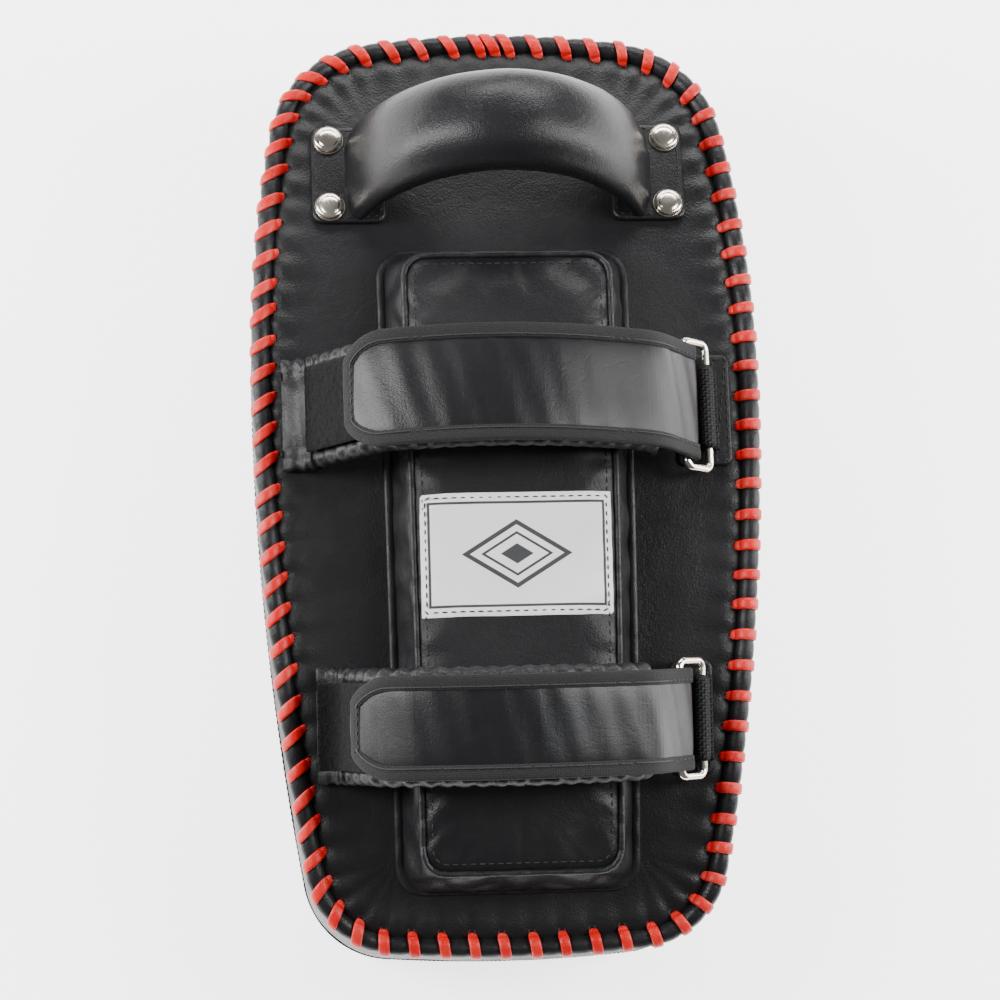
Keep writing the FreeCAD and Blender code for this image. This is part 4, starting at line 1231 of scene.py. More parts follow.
def cushion_loop(half_x, y_low, y_high, corner, count):
    """A round-cornered, slightly tapering plan loop that starts at the middle of the handle end."""
    middle, half_y = (y_low + y_high) / 2, (y_high - y_low) / 2
    points = [(0.0, half_y)]
    for sx, sy, start in ((1, 1, 90), (1, -1, 0), (-1, -1, -90), (-1, 1, -180)):
        for a in np.radians(np.linspace(start, start - 90, 9)):
            points.append((sx * (half_x - corner) + corner * math.cos(a),
                           sy * (half_y - corner) + corner * math.sin(a)))
    loop = np.array(points)
    closed = np.vstack([loop, loop[:1]])
    run = run_of(closed)
    wanted = np.arange(count) * run[-1] / count
    loop = np.stack([np.interp(wanted, run, closed[:, i]) for i in range(2)], -1)
    loop[:, 0] *= 1 - CUSHION_TAPER / half_x * (1 - (loop[:, 1] / half_y + 1) / 2)
    loop[:, 1] += middle
    return loop


def cushion_rings(count):
    """Rings from the back up the sloping gusset to the seam, then in over the panel to its ridge."""
    foot_low, foot_high = corners_of("cushion_gusset")
    height = corners_of("cushion_panel")[1][2] - CROWN_Z
    base = cushion_loop(foot_high[0] - FOOT_GAP, foot_low[1] + FOOT_GAP, foot_high[1] - FOOT_GAP,
                        11 * MM, count)
    seam = cushion_loop(PANEL_HALF, foot_low[1] + 7.5 * MM, foot_high[1] - 7.5 * MM, 9 * MM, count)
    rings = []
    for f in np.linspace(0, 1, CUSHION_ROWS):
        xy = base * (1 - f) + seam * f
        w = 0.4 * MM + (height - 0.8 * MM) * f
        rings.append(np.column_stack([xy, back_z(xy[:, 1], w)]))
    reach = PANEL_HALF - 0.5 * MM
    middle = (foot_low[1] + foot_high[1]) / 2
    spine_half = (foot_high[1] - foot_low[1]) / 2 - 7.5 * MM - reach
    spine = np.column_stack([np.zeros(count), np.clip(seam[:, 1], middle - spine_half, middle + spine_half)])
    for k in np.linspace(1, 0.04, 12)[1:]:
        xy = spine + (seam - spine) * k
        crown = 0.9 * MM * (1 - k ** 4)
        rings.append(np.column_stack([xy, back_z(xy[:, 1], height - 0.4 * MM + crown)]))
    return np.array(rings), height


def ridged_object(name, rings, mat):
    """Closed rings that end on a ridge: the last ring is bridged across, mirrored left to right."""
    rows, columns = rings.shape[:2]
    faces = []
    for i in range(rows - 1):
        for k in range(columns):
            m = (k + 1) % columns
            faces.append((i * columns + k, i * columns + m, (i + 1) * columns + m, (i + 1) * columns + k))
    last = (rows - 1) * columns
    for k in range(columns // 2):
        m = (columns - k) % columns
        quad = [last + k, last + k + 1, last + columns - k - 1, last + m]
        faces.append(tuple(dict.fromkeys(quad)))
    return mesh_object(name, rings.reshape(-1, 3), faces, mat)


def surface_height(tree, x, y, otherwise):
    hit = tree.ray_cast(Vector((x, y, 1.0)), Vector((0, 0, -1)))[0]
    return hit.z if hit else otherwise


def build_cushion():
    columns = 184
    rings, height = cushion_rings(columns)
    cover = ridged_object("cushion_cover", rings, material("cushion_leather"))
    rows = len(rings)
    index = np.arange(rows * columns).reshape(rows, columns)
    pinned = np.concatenate([index[0], index[CUSHION_ROWS - 1]])
    points = pressed(cover, pinned, 3.0, 3.2 * MM)
    grid = points.reshape(rows, columns, 3)
    rest = rings
    run = run_of(np.vstack([rest[CUSHION_ROWS - 1], rest[CUSHION_ROWS - 1][:1]]))[:-1]
    pull = np.sin(run / (11 * MM) * 2 * math.pi + 2 * np.sin(run / 0.05))
    for i in range(rows):
        if i < CUSHION_ROWS:
            away = (CUSHION_ROWS - 1 - i) * 3.4 * MM
        else:
            away = (i - CUSHION_ROWS + 1) * 3.6 * MM
        depth = 0.32 * MM * pull * math.exp(-away / (7 * MM)) + 0.18 * MM * smooth_noise(rest[i], 0.03, 21)
        groove = -0.9 * MM * bell(away, 0, 2.5 * MM)
        grid[i, :, 2] += depth + groove
    floor = back_z(grid[..., 1], 0.15 * MM)
    grid[..., 2] = np.maximum(grid[..., 2], floor)
    ceiling = back_z(grid[..., 1], height + 2.6 * MM)
    grid[..., 2] = np.minimum(grid[..., 2], ceiling)
    set_points(cover.data, grid)
    smoother(cover, 2)
    on_body(cover, "pad", "leather", "cushion_panel", "cushion_gusset", "cushion_foam")

    seam = grid[CUSHION_ROWS - 1]
    outward = seam - seam.mean(axis=0)
    outward[:, 1] *= 0.35
    up = outward * np.array([1, 1, 0]) / np.linalg.norm(outward[:, :2], axis=1, keepdims=True)
    up = up * 0.75 + np.array([0, 0, 0.66])
    puckered = 1 + 0.1 * np.sin(run / (3.7 * MM) * 2 * math.pi)
    fine = resample(np.hstack([seam + up * 0.55 * MM, up]), 1.2 * MM, closed=True)
    swell = np.interp(np.linspace(0, 1, len(fine)), np.linspace(0, 1, len(puckered)), puckered)
    welt = tube("cushion_welt_cord", fine[:, :3], fine[:, 3:], 1.25 * MM, material("roll_leather"),
                closed=True, swell=swell)
    on_body(welt, "pad", "leather", "cushion_welt")
    build_cushion_flange(columns)

    tree = BVHTree.FromObject(cover, bpy.context.evaluated_depsgraph_get())
    inner = cushion_loop(PANEL_HALF - 3.6 * MM, seam[:, 1].min() + 3.6 * MM, seam[:, 1].max() - 3.6 * MM,
                         6 * MM, 320)
    line = np.array([(x, y, surface_height(tree, x, y, back_z(y, height)) + 0.12 * MM) for x, y in inner])
    on_body(thread_row("cushion_stitching", [(line, np.tile((0.0, 0.0, 1.0), (len(line), 1)))], closed=True),
            "pad", "binding")
    build_patch(tree, height)


def build_cushion_flange(columns):
    """The cushion's seam allowance lying on the back all round."""
    low, high = corners_of("cushion_flange")
    rings = []
    for inset, w in ((0.2, 0.05), (0.0, 0.5), (0.3, 1.1), (1.0, 1.45), (2.6, 1.5), (4.0, 0.6)):
        loop = cushion_loop(high[0] - 0.3 * MM - inset * MM, low[1] + 0.3 * MM + inset * MM,
                            high[1] - 0.3 * MM - inset * MM, 12 * MM, columns * 2)
        wave = 0.12 * MM * np.sin(np.arange(len(loop)) * 2 * math.pi / len(loop) * 60)
        rings.append(np.column_stack([loop, back_z(loop[:, 1], w * MM + wave * (w > 0.9))]))
    flange = grid_object("cushion_flange_edge", np.array(rings), material("roll_leather"), close_columns=True)
    on_body(flange, "pad", "leather", "cushion_flange")


def build_patch(tree, height):
    """The woven patch: a thin slab lying on the cushion, bowed with it, stitched round its edge."""
    low, high = corners_of("label_patch")
    middle, half = (low[:2] + high[:2]) / 2, (high[:2] - low[:2]) / 2 - [0.8 * MM, 0]
    columns, rows = 65, 41
    u = np.linspace(-half[0], half[0], columns)
    v = np.linspace(-half[1], half[1], rows)
    grid = np.zeros((rows, columns, 3))
    uvs = np.zeros((rows, columns, 2))
    for i in range(rows):
        for k in range(columns):
            x, y = middle[0] + u[k], middle[1] + v[i]
            edge = min(half[0] - abs(u[k]), half[1] - abs(v[i]))
            lift = (0.15 + 0.6 * min(1.0, edge / (0.9 * MM))) * MM
            sew = -0.25 * MM * bell(edge, 2.0 * MM, 0.8 * MM)
            grid[i, k] = (x, y, surface_height(tree, x, y, back_z(y, height)) + lift + sew)
            uvs[i, k] = (u[k], v[i])
    grid[..., 2] += 0.22 * MM * smooth_noise(grid, 0.03, 31)
    patch = grid_object("patch_cloth", grid, material("label"), uvs=uvs)
    on_body(patch, "pad", "label", "label_patch")
    inset = 2.0 * MM
    corners = np.array([(-half[0] + inset, -half[1] + inset), (half[0] - inset, -half[1] + inset),
                        (half[0] - inset, half[1] - inset), (-half[0] + inset, half[1] - inset)]) + middle
    loop = resample(corners, 1.0 * MM, closed=True)
    line = np.array([(x, y, surface_height(tree, x, y, back_z(y, height)) + 0.75 * MM) for x, y in loop])
    on_body(thread_row("patch_stitching", [(line, np.tile((0.0, 0.0, 1.0), (len(line), 1)))], closed=True),
            "pad", "binding")


# ---------------------------------------------------------------- arm straps

BAND_HALF, BAND_THICK = 24 * MM, 11 * MM
ROLL_SEAM = 15.5 * MM
LOOP_TOP, HOOK_LOW, FLAP_LOW, FLAP_THICK = 12.3 * MM, 12.7 * MM, 14.0 * MM, 3.0 * MM
TAPE_HALF = 18 * MM
FLAP_LEFT, FLAP_CORNER, FLAP_BORDER = -69 * MM, 15 * MM, 6.3 * MM
TAIL_FROM, TAIL_THICK = 25 * MM, 2.5 * MM
WIRE, WIRE_GAP = 1.75 * MM, 0.35 * MM
TURN_INNER = WIRE + WIRE_GAP
ANCHOR_STITCH_HALF = 21.5 * MM


class Strap:
    """The places that one arm strap's pieces share, read from its hinge and its anchors."""

    def __init__(self, name):
        self.name = name
        hinge = joint_of(name + "_ring_hinge")
        peel = joint_of(name + "_flap_peel")
        axis = np.array(hinge["axis"], float)
        self.station = Station(-math.asin(axis[2] / np.linalg.norm(axis)))
        kx, _, kw = self.station.local(np.array(hinge["pos_m"], float))
        bx, _, bw = self.station.local(np.array(peel["pos_m"], float))
        self.keeper, self.bar = np.array([kx, kw]), np.array([bx, bw])
        self.half_flap = 24 * MM if name == "upper" else 21 * MM
        self.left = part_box(name + "_strap_anchor")[0][0]
        self.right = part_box(name + "_ring_anchor")[1][0]
        slope = math.radians(56.3)
        self.d = np.array([math.cos(slope), -math.sin(slope)])
        self.n = np.array([math.sin(slope), math.cos(slope)])
        foot = self.bar + self.n * (TURN_INNER - FLAP_LOW)
        end = foot - self.d * 12 * MM
        knee = end - self.d * 14.4 * MM
        seat = 1.9 * MM
        corners = [(self.left, seat), (self.left + 15 * MM, seat), (-50 * MM, 38.5 * MM), (0, 50.5 * MM),
                   knee, end]
        bends = [20 * MM, 24 * MM, 100 * MM, 14 * MM]
        self.end = end
        self.line, self.normals = rounded_path(corners, bends)
        self.flap_line, self.flap_normals = rounded_path(corners[:-1] + [foot], bends)

    def world(self, x, v, w):
        return self.station.world(x, v, w)

    def strip(self, x_from, x_to, offset):
        """The part of the flap's path between two x places, moved out by offset."""
        line = self.flap_line + self.flap_normals * offset
        keep = (line[:, 0] > x_from) & (line[:, 0] < x_to)
        return line[keep], self.flap_normals[keep]


def curvature_of(line):
    tangent = np.gradient(line, axis=0)
    heading = np.unwrap(np.arctan2(tangent[:, 1], tangent[:, 0]))
    bend = np.abs(np.gradient(heading) / np.maximum(np.linalg.norm(tangent, axis=1), 1e-9))
    kernel = np.ones(9) / 9
    return np.convolve(bend, kernel, mode="same")


def band_section(count_top=17):
    """Points (v, h) round the padded band: flat under, rolled edges, sunk seams, full middle."""
    pts = []
    for a in np.radians(np.linspace(-110, 120, 12)):
        pts.append((19.6 * MM + 4.1 * MM * math.cos(a), 5.2 * MM + 4.1 * MM * math.sin(a)))
    top = np.linspace(ROLL_SEAM, -ROLL_SEAM, count_top)
    for v in top:
        pts.append((v, 8.1 * MM + 2.3 * MM * (1 - abs(v / ROLL_SEAM) ** 4)))
    for a in np.radians(np.linspace(60, 290, 12)):
        pts.append((-19.6 * MM + 4.1 * MM * math.cos(a), 5.2 * MM + 4.1 * MM * math.sin(a)))
    for v in np.linspace(-16 * MM, 16 * MM, 11):
        pts.append((v, 1.2 * MM - 0.9 * MM * (1 - abs(v / (17 * MM)) ** 3)))
    return np.array(pts)


def build_band(strap):
    st, line, normals = strap.station, strap.line, strap.normals
    profile = band_section()
    run = run_of(line)
    total = run[-1]
    bend = curvature_of(line)
    bend = bend / bend.max()
    rings = []
    v, h = profile[:, 0], profile[:, 1]
    roll = (np.abs(v) > 16.5 * MM).astype(float)
    seam = bell(np.abs(v), ROLL_SEAM, 1.2 * MM) * (h > 5 * MM)
    for i, (p, n) in enumerate(zip(line, normals)):
        from_start, from_end = run[i], total - run[i]
        flat = 0.22 + 0.78 * min(1, from_start / (17 * MM)) ** 1.3
        close = 0.34 + 0.66 * min(1, from_end / (9 * MM)) ** 0.7
        high = flat * close
        phase = run[i] / (6.8 * MM) * 2 * math.pi
        bumps = roll * (0.28 + 0.55 * bend[i]) * MM * np.sin(phase + np.sign(v) * 1.1)
        creases = (1 - roll) * bend[i] * 0.45 * MM * np.sin(phase * 0.8 + v / (9 * MM)) * (h > 5 * MM)
        narrow = 1 - 0.02 * (1 - close)
        hh = h * high + (bumps + creases) * high - seam * 0.5 * MM * high
        vv = v * narrow + np.sign(v) * bumps * 0.45
        rings.append(st.world(p[0] + n[0] * hh, vv, p[1] + n[1] * hh))
    rings = np.array(rings)
    columns = len(profile)
    band = grid_object(strap.name + "_arm_band", rings, material("band_leather"), close_columns=True,
                       caps=("first", "last"))
    index = np.arange(len(line) * columns).reshape(len(line), columns)
    held = np.concatenate([index[:, seam > 0.5].ravel(), index[:2].ravel(), index[-2:].ravel(),
                           index[:, h < 2.5 * MM].ravel(), [len(line) * columns, len(line) * columns + 1]])
    points = pressed(band, held, 2.0, 0.7 * MM, grow=0.04)
    rough = smooth_noise(points, 0.016, 41) * 0.14 * MM
    points += rough[:, None] * st.out
    set_points(band.data, points)
    on_body(band, "pad", "leather", strap.name + "_strap_cover", strap.name + "_strap_edge_rolls",
            strap.name + "_strap_foam")
    lines = []
    for side in (-1, 1):
        at = line + normals * 8.3 * MM
        keep = (run > 16 * MM) & (run < total - 8 * MM)
        up = normals[keep, :1] * np.array([1, 0, 0]) + normals[keep, 1:] * st.out
        lines.append((st.world(at[keep, 0], side * (ROLL_SEAM - 1.6 * MM), at[keep, 1]) + up * 0.35 * MM, up))
    on_body(thread_row(strap.name + "_band_stitching", lines), "pad", "binding")


def tape_object(strap, name, line, normals, half, low, high, mat):
    """A strip of hook or loop tape with a rounded edge and a slightly uneven pile."""
    rng = np.random.default_rng(SEED + 3)
    around = 84
    rough = rng.normal(0, 0.16 * MM, (len(line), around))

    def section(i):
        v, h = oblong(half, low, high, around, 0.3)
        top = h > (low + high) / 2
        return v, h + rough[i] * top

    return swept(name, strap.station, line, normals, section, mat)


def build_tapes(strap):
    line, normals = strap.line, strap.normals
    at = line + normals * BAND_THICK
    keep = (at[:, 0] > -84 * MM) & (at[:, 0] < 22 * MM)
    loop = tape_object(strap, strap.name + "_loop_strip", line[keep], normals[keep], TAPE_HALF,
                       10.2 * MM, LOOP_TOP, material("loop"))
    on_body(loop, "pad", "loop", strap.name + "_loop_tape")
    half = min(TAPE_HALF, strap.half_flap - 6.5 * MM)
    at = strap.flap_line + strap.flap_normals * HOOK_LOW
    keep = (at[:, 0] > -57.5 * MM) & (at[:, 0] < 18 * MM)
    hook = tape_object(strap, strap.name + "_hook_strip", strap.flap_line[keep], strap.flap_normals[keep],
                       half, HOOK_LOW, FLAP_LOW + 0.2 * MM, material("hook"))
    on_body(hook, strap.name + "_flap", "hook", strap.name + "_hook_tape")


def flap_half(x, strap):
    """Half-width of the flap at a place along it: its far end has two round corners."""
    into = np.clip((x - FLAP_LEFT) / FLAP_CORNER, 0, 1)
    return strap.half_flap - FLAP_CORNER * (1 - np.sqrt(np.clip(1 - (1 - into) ** 2, 0, 1)))


def turn_line(strap, radius, start, stop, count=14):
    """Part of the closing strap's turn round the free bar; 0 degrees is its outer, upper side."""
    angle = np.radians(np.linspace(start, stop, count))
    arm = np.cos(angle)[:, None] * strap.n + np.sin(angle)[:, None] * strap.d
    return strap.bar + arm * radius, arm


def build_closing_strap(strap):
    """Flap and upper half of the turn as one piece of coated strap with a bound edge."""
    st = strap.station
    middle = FLAP_LOW + FLAP_THICK / 2
    line = strap.flap_line + strap.flap_normals * middle
    keep = line[:, 0] > FLAP_LEFT + 0.4 * MM
    line, normals = line[keep], strap.flap_normals[keep]
    radius = TURN_INNER + FLAP_THICK / 2
    arc, arms = turn_line(strap, radius, 0, 92)
    line = np.vstack([line[:-1], arc])
    normals = np.vstack([normals[:-1], arms])
    order = resample(np.hstack([line, normals]), 1.1 * MM)
    line, normals = order[:, :2], order[:, 2:] / np.linalg.norm(order[:, 2:], axis=1, keepdims=True)
    run = run_of(line)
    rng = np.random.default_rng(SEED + (5 if strap.name == "upper" else 6))
    wander = np.interp(run, np.linspace(0, run[-1], 12), rng.normal(0, 0.25 * MM, 12))

    def section(i):
        half = flap_half(line[i, 0], strap) - 3.5 * MM
        v, h = oblong(max(half, 1 * MM), -FLAP_THICK / 2 + 0.3 * MM, FLAP_THICK / 2 - 0.25 * MM, 48, 0.35)
        top = np.clip(h / (FLAP_THICK / 2), 0, 1)
        puff = 0.45 * MM * top * (1 - np.clip(np.abs(v) / half, 0, 1) ** 3)
        ripple = 0.16 * MM * top * np.sin(run[i] / (13 * MM) * 2 * math.pi + v / (7 * MM))
        return v, h + puff + ripple + wander[i] * top * 0.5

    centre = swept(strap.name + "_closing_strap", st, line, normals, section, material("vinyl"))
    borders = build_flap_border(strap, line, normals, run)
    start = st.world(*[strap.bar[0] + strap.d[0] * radius, 0.0, strap.bar[1] + strap.d[1] * radius])
    stop = st.world(strap.bar[0] - strap.d[0] * 0.5 * MM, 0.0, strap.bar[1] - strap.d[1] * 0.5 * MM)
    for obj in (centre,) + borders:
        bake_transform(obj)
    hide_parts(strap.name + "_closing_flap", strap.name + "_closing_strap_turn",
                strap.name + "_flap_binding")


def build_flap_border(strap, line, normals, run):
    """Folded binding round the flap's far end and both its sides, with a stitch line inside it."""
    half = np.array([flap_half(x, strap) for x in line[:, 0]])
    side = np.column_stack([run, half])
    first = run[0]
    corner = [(first, v) for v in np.linspace(-half[0] + 0.5 * MM, half[0] - 0.5 * MM, 24)]
    route = np.vstack([side[::-1] * [1, -1], corner, side])
    route = resample(route, 1.3 * MM)
    tangent = np.gradient(route, axis=0)
    tangent /= np.linalg.norm(tangent, axis=1, keepdims=True)
    inward = np.column_stack([-tangent[:, 1], tangent[:, 0]])
    middle = np.array([run[len(run) // 2], 0])
    if ((middle - route[len(route) // 2]) @ inward[len(route) // 2]) < 0:
        inward = -inward
    width = FLAP_BORDER
    top, low = FLAP_THICK / 2 + 0.55 * MM, -FLAP_THICK / 2 - 0.15 * MM
    shape = [(0.25, low * 0.7), (0.0, low * 0.2), (0.0, top * 0.5), (0.35, top * 0.9), (1.2, top),
             (3.2, top * 1.02), (5.0, top), (6.0, top * 0.93), (width / MM, top * 0.62),
             (width / MM, 0.1 * MM), (5.4, low * 0.9), (1.5, low)]

    def place(a, v, h):
        x = np.interp(a, run, line[:, 0]), np.interp(a, run, line[:, 1])
        n = np.interp(a, run, normals[:, 0]), np.interp(a, run, normals[:, 1])
        return strap.world(x[0] + n[0] * h, v, x[1] + n[1] * h)

    rings, uvs = [], []
    dist = run_of(route)
    for i, (p, q) in enumerate(zip(route, inward)):
        pucker = 0.1 * MM * math.sin(dist[i] / (3.7 * MM) * 2 * math.pi)
        ring = []
        for a, h in shape:
            at = p + q * a * MM
            sew = -0.22 * MM * bell(a, 4.9, 0.7) if h > 0 else 0.0
            ring.append(place(at[0], at[1], h + sew + pucker * (a > 4)))
        rings.append(ring)
        uvs.append([(dist[i], a * MM) for a, h in shape])
    border = grid_object(strap.name + "_flap_border", np.array(rings), material("binding"),
                         close_columns=True, caps=("first", "last"), uvs=np.array(uvs))
    seam = route + inward * 4.9 * MM
    points = np.array([place(a, v, top - 0.1 * MM) for a, v in seam])
    above = np.array([place(a, v, top + 2 * MM) for a, v in seam])
    up = above - points
    up /= np.linalg.norm(up, axis=1, keepdims=True)
    keep = seam[:, 0] < run[-1] - 6 * MM
    return border, thread_row(strap.name + "_border_stitching", [(points[keep], up[keep])])


def build_tail(strap):
    """The closing strap's other end: under the bar, up over the band's end and along its top."""
    st = strap.station
    width = strap.half_flap - 6.5 * MM
    radius = TURN_INNER + FLAP_THICK / 2
    arc = turn_line(strap, radius, 88, 176, 12)[0]
    at = strap.line + strap.normals * (BAND_THICK + 0.2 * MM + TAIL_THICK / 2)
    keep = at[:, 0] > TAIL_FROM
    over = at[keep][:-1]
    corner = strap.end + strap.n * (BAND_THICK - 0.5 * MM) + strap.d * 1.6 * MM
    below = strap.bar - strap.n * radius - strap.d * 4.5 * MM
    hang = corner * 0.45 + below * 0.55 - strap.n * 0.8 * MM
    route = np.vstack([over, [corner, hang, below], arc[::-1]])
    route = resample(route, 1.0 * MM)
    route = relaxed(route, 6)
    normals = left_normals(route)
    run = run_of(route)
    full = strap.half_flap - 0.6 * MM

    def section(i):
        widen = np.clip((run[i] - run[-1] + 12 * MM) / (10 * MM), 0, 1)
        half = width + (full - width) * widen
        thick = TAIL_THICK / 2
        v, h = oblong(half, -thick, thick, 40, 0.3)
        return v, h + 0.12 * MM * np.sin(run[i] / (4.5 * MM) * 2 * math.pi + v / (5 * MM))

    tail = swept(strap.name + "_strap_tail", st, route, normals, section, material("vinyl"))
    start = st.world(corner[0], 0.0, corner[1])
    stop = st.world(strap.bar[0] - strap.n[0] * radius, 0.0, strap.bar[1] - strap.n[1] * radius)
    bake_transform(tail)
    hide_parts(strap.name + "_closing_strap_tail")


def build_anchors(strap):
    st = strap.station
    low, high = 0.1 * MM, 1.9 * MM
    left = plate(strap.name + "_band_anchor", st, strap.left, strap.left + 15 * MM, BAND_HALF - 0.3 * MM,
                 low, high, 3 * MM, material("leather"), puff=0.15 * MM)
    on_body(left, "pad", "leather", strap.name + "_strap_anchor")
    ring_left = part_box(strap.name + "_ring_anchor")[0][0]
    right = plate(strap.name + "_ring_patch", st, ring_left, strap.right, BAND_HALF - 0.3 * MM, low, high,
                  3 * MM, material("leather"), puff=0.15 * MM)
    on_body(right, "pad", "leather", strap.name + "_ring_anchor")
    up = st.out
    rows = []
    v = ANCHOR_STITCH_HALF
    for x1, x2 in ((strap.left + 1.8 * MM, strap.left + 6.5 * MM),
                   (strap.right - 7 * MM, strap.right - 1.8 * MM)):
        corners = np.array([(x1, -v), (x2, -v), (x2, v), (x1, v)])
        loop = resample(np.vstack([corners, corners[:1]]), 1 * MM)
        rows.append((st.world(loop[:, 0], loop[:, 1], high + 0.1 * MM), np.tile(up, (len(loop), 1))))
        cross = resample(np.array([(x1, -v), (x2, v)]), 1 * MM)
        rows.append((st.world(cross[:, 0], cross[:, 1], high + 0.1 * MM), np.tile(up, (len(cross), 1))))
    on_body(thread_row(strap.name + "_anchor_stitching", rows), "pad", "binding")
    build_keeper(strap)


def build_keeper(strap):
    """Webbing folded round the ring's fixed bar and sewn down beside it."""
    inner = TURN_INNER - 0.1 * MM
    radius = inner + 0.75 * MM
    kx, kw = strap.keeper
    angle = np.radians(np.linspace(-62, 242, 34))
    loop = np.column_stack([kx + radius * np.cos(angle), kw + radius * np.sin(angle)])
    feet_right = [(kx + 4.9 * MM, 2.7 * MM), (kx + 3.1 * MM, 2.75 * MM)]
    feet_left = [(kx - 1.2 * MM, 2.9 * MM), (kx + 1.5 * MM, 2.8 * MM)]
    line = relaxed(resample(np.vstack([feet_right, loop, feet_left]), 0.7 * MM), 2)
    normals = left_normals(line)

    def section(i):
        return oblong(17.7 * MM, -0.65 * MM, 0.65 * MM, 32, 0.35)

    keeper = swept(strap.name + "_keeper_loop", strap.station, line, normals, section, material("webbing"))
    on_body(keeper, "pad", "webbing", strap.name + "_ring_keeper")


def build_strap(name):
    strap = Strap(name)
    build_band(strap)
    build_tapes(strap)
    build_anchors(strap)
    build_closing_strap(strap)
    build_tail(strap)


# ---------------------------------------------------------------- kept parts and stage

def dress_kept_parts():
    """Give the frame's own hard parts and inner foam their finishes."""
    keys = {"nickel": "metal", "foam": "foam", "board": "board"}
    for obj in frame["nodes"].values():
        for slot in obj.material_slots:
            for word, key in keys.items():
                if slot.material and word in slot.material.name:
                    slot.material = material(key)


SENSOR = 36.0
VIEW_DIRECTION = Vector((-0.085, -0.16, 1.0))
VIEW_DISTANCE, VIEW_WIDTH = 1.45, 0.413
VIEW_CENTRE, VIEW_RAISE = (-0.0047, -0.0103), 0.006
VIEW_ROLL = -1.8
FLOOR_HALF, FLOOR_GAP = 4.0, 0.5 * MM
FLOOR_GLOW, WORLD_STRENGTH = 3.0, 0.2
SOFTBOXES = (
    ("left_softbox", (-1.15, 0.2, 0.62), (0.45, 1.6), 41.0),
    ("right_softbox", (1.15, 0.1, 0.66), (0.45, 1.6), 35.0),
    ("top_softbox", (0.1, 1.25, 0.75), (1.5, 0.4), 27.0),
)


def build_stage():
    scene = bpy.context.scene
    low, high = (np.array(c) for c in CAD_BOX)
    floor_z = float(low[2]) - FLOOR_GAP
    h = FLOOR_HALF
    mesh = bpy.data.meshes.new("floor")
    corners = [(-h, -h, floor_z), (h, -h, floor_z), (h, h, floor_z), (-h, h, floor_z)]
    mesh.from_pydata(corners, [], [(0, 1, 2, 3)])
    floor = bpy.data.objects.new("floor", mesh)
    scene.collection.objects.link(floor)
    pale = bpy.data.materials.new("floor_pale")
    pale.use_nodes = True
    t = Tree(pale.node_tree)
    shader = pale.node_tree.nodes["Principled BSDF"]
    cloud = t.noise(t.add("ShaderNodeTexCoord").outputs["Object"], 3.0)
    t.put(shader.inputs["Base Color"], t.blend(cloud, (0.86, 0.86, 0.86, 1), (0.9, 0.9, 0.9, 1)))
    shader.inputs["Roughness"].default_value = 0.9
    shader.inputs["Emission Color"].default_value = (1.0, 1.0, 1.0, 1.0)
    shader.inputs["Emission Strength"].default_value = FLOOR_GLOW
    mesh.materials.append(pale)

    world = bpy.data.worlds.new("studio")
    scene.world = world
    world.use_nodes = True
    back = world.node_tree.nodes["Background"]
    back.inputs["Color"].default_value = (1.0, 1.0, 1.0, 1.0)
    back.inputs["Strength"].default_value = WORLD_STRENGTH

    centre = (low + high) / 2
    for name, offset, size, power in SOFTBOXES:
        data = bpy.data.lights.new(name, "AREA")
        data.shape = "RECTANGLE"
        data.size, data.size_y = size
        data.energy = power
        light = bpy.data.objects.new(name, data)
        scene.collection.objects.link(light)
        light.location = Vector(centre) + Vector(offset)
        light.rotation_euler = (-Vector(offset)).to_track_quat("-Z", "Y").to_euler()

    camera = bpy.data.objects.new("camera", bpy.data.cameras.new("camera"))
    scene.collection.objects.link(camera)
    toward = VIEW_DIRECTION.normalized()
    camera.data.sensor_width = SENSOR
    camera.data.lens = SENSOR * VIEW_DISTANCE / VIEW_WIDTH
    target = Vector((*VIEW_CENTRE, CROWN_Z + VIEW_RAISE))
    camera.location = target + toward * VIEW_DISTANCE
    aim = (-toward).to_track_quat("-Z", "Y")
    camera.rotation_euler = aim.to_euler()
    view_up = aim @ Vector((0, 1, 0))
    wanted = Vector((0, 1, 0)) - toward * toward.y
    turn = math.atan2(view_up.cross(wanted).dot(toward), view_up.dot(wanted)) + math.radians(VIEW_ROLL)
    spin = Matrix.Rotation(turn, 4, toward)
    camera.rotation_euler = (spin.to_quaternion() @ aim).to_euler()
    scene.camera = camera


# ---------------------------------------------------------------- operators

def built(*builders):
    """Run the builders of one group; an error in any of them stops the operator."""
    for builder in builders:
        builder()
    return {"FINISHED"}


class KICKPAD_OT_shell(bpy.types.Operator):
    """Build the leather shell: striking face, side wall, face piping and back panel"""
    bl_idname = "kickpad.shell"
    bl_label = "Shell and back"

    def execute(self, context):
        return built(build_shell, build_back_panel)


class KICKPAD_OT_edge(bpy.types.Operator):
    """Build the rolled edge, the whip-stitched lace and its punched holes"""
    bl_idname = "kickpad.edge"
    bl_label = "Edge roll and lace"

    def execute(self, context):
        return built(build_edge_roll, build_edge_lace)


class KICKPAD_OT_handle(bpy.types.Operator):
    """Build the padded grip handle, its sewn tabs and the rivet heads"""
    bl_idname = "kickpad.handle"
    bl_label = "Handle"

    def execute(self, context):
        return built(build_handle)


class KICKPAD_OT_cushion(bpy.types.Operator):
    """Build the forearm cushion, its welt and flange, and the woven patch"""
    bl_idname = "kickpad.cushion"
    bl_label = "Cushion and patch"

    def execute(self, context):
        return built(build_cushion)


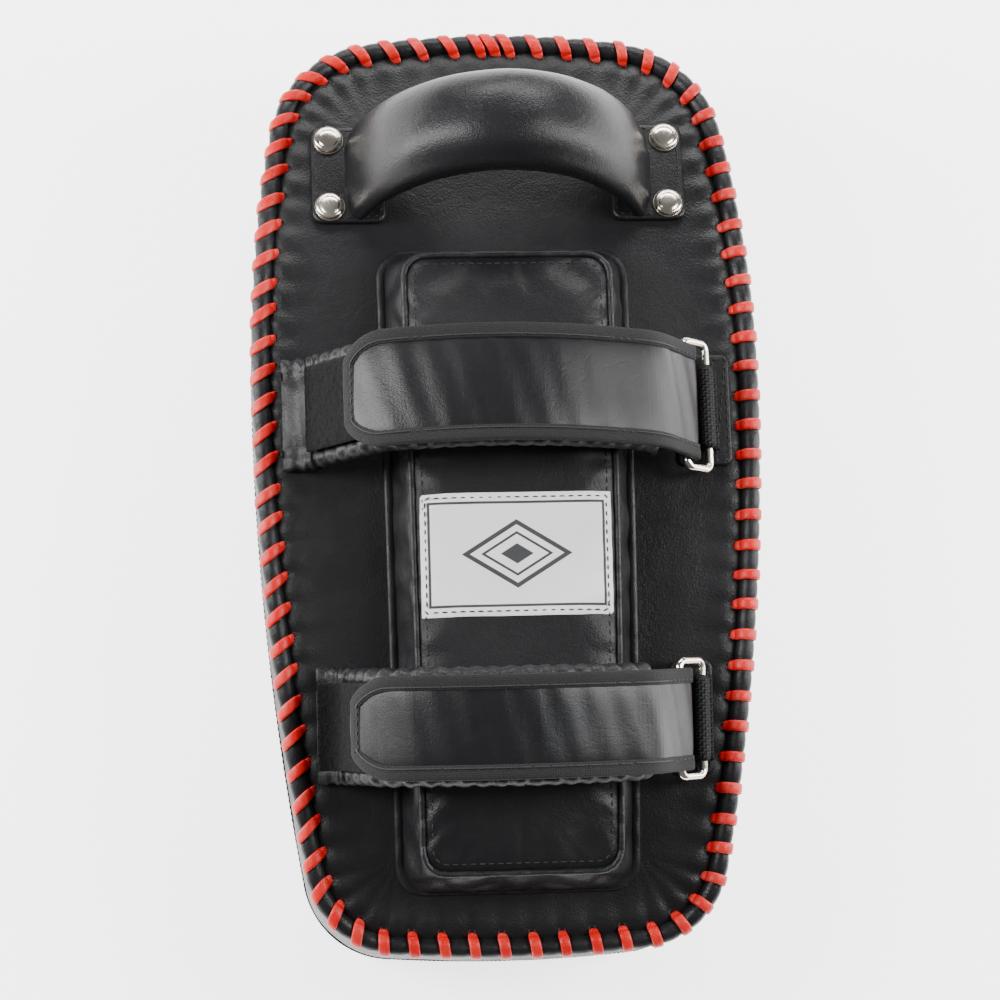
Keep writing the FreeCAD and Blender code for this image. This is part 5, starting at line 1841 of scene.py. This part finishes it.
class KICKPAD_OT_straps(bpy.types.Operator):
    """Build both arm straps: padded band, tapes, closing strap, tail, anchors and keepers"""
    bl_idname = "kickpad.straps"
    bl_label = "Arm straps"

    def execute(self, context):
        return built(lambda: build_strap("upper"), lambda: build_strap("lower"))


class KICKPAD_OT_kept_parts(bpy.types.Operator):
    """Give the rings, rivet posts, washers, foam and board their finishes"""
    bl_idname = "kickpad.kept_parts"
    bl_label = "Hard parts"

    def execute(self, context):
        return built(dress_kept_parts)


class KICKPAD_OT_stage(bpy.types.Operator):
    """Build the floor, the soft lights and the camera"""
    bl_idname = "kickpad.stage"
    bl_label = "Stage"

    def execute(self, context):
        return built(build_stage)


OPERATORS = (KICKPAD_OT_shell, KICKPAD_OT_edge, KICKPAD_OT_handle, KICKPAD_OT_cushion,
             KICKPAD_OT_straps, KICKPAD_OT_kept_parts, KICKPAD_OT_stage)


class KICKPAD_PT_panel(bpy.types.Panel):
    """The pad's pieces, in building order"""
    bl_idname = "KICKPAD_PT_panel"
    bl_label = "Kick Pad"
    bl_space_type = "VIEW_3D"
    bl_region_type = "UI"
    bl_category = "Kick Pad"

    def draw(self, context):
        scene = context.scene
        for group in (scene.kick_pad_sizes, scene.kick_pad_colours):
            box = self.layout.box()
            for key in group.__annotations__:
                box.prop(group, key)
        for operator in OPERATORS:
            self.layout.operator(operator.bl_idname)


CLASSES = (KickPadSizes, KickPadColours) + OPERATORS + (KICKPAD_PT_panel,)


def register():
    for cls in CLASSES:
        bpy.utils.register_class(cls)
    bpy.types.Scene.kick_pad_sizes = bpy.props.PointerProperty(type=KickPadSizes)
    bpy.types.Scene.kick_pad_colours = bpy.props.PointerProperty(type=KickPadColours)


def unregister():
    del bpy.types.Scene.kick_pad_colours
    del bpy.types.Scene.kick_pad_sizes
    for cls in reversed(CLASSES):
        bpy.utils.unregister_class(cls)


def main():
    register()
    bpy.ops.kickpad.shell()
    bpy.ops.kickpad.edge()
    bpy.ops.kickpad.handle()
    bpy.ops.kickpad.cushion()
    bpy.ops.kickpad.straps()
    bpy.ops.kickpad.kept_parts()
    bpy.ops.kickpad.stage()


if __name__ == "__main__":
    main()
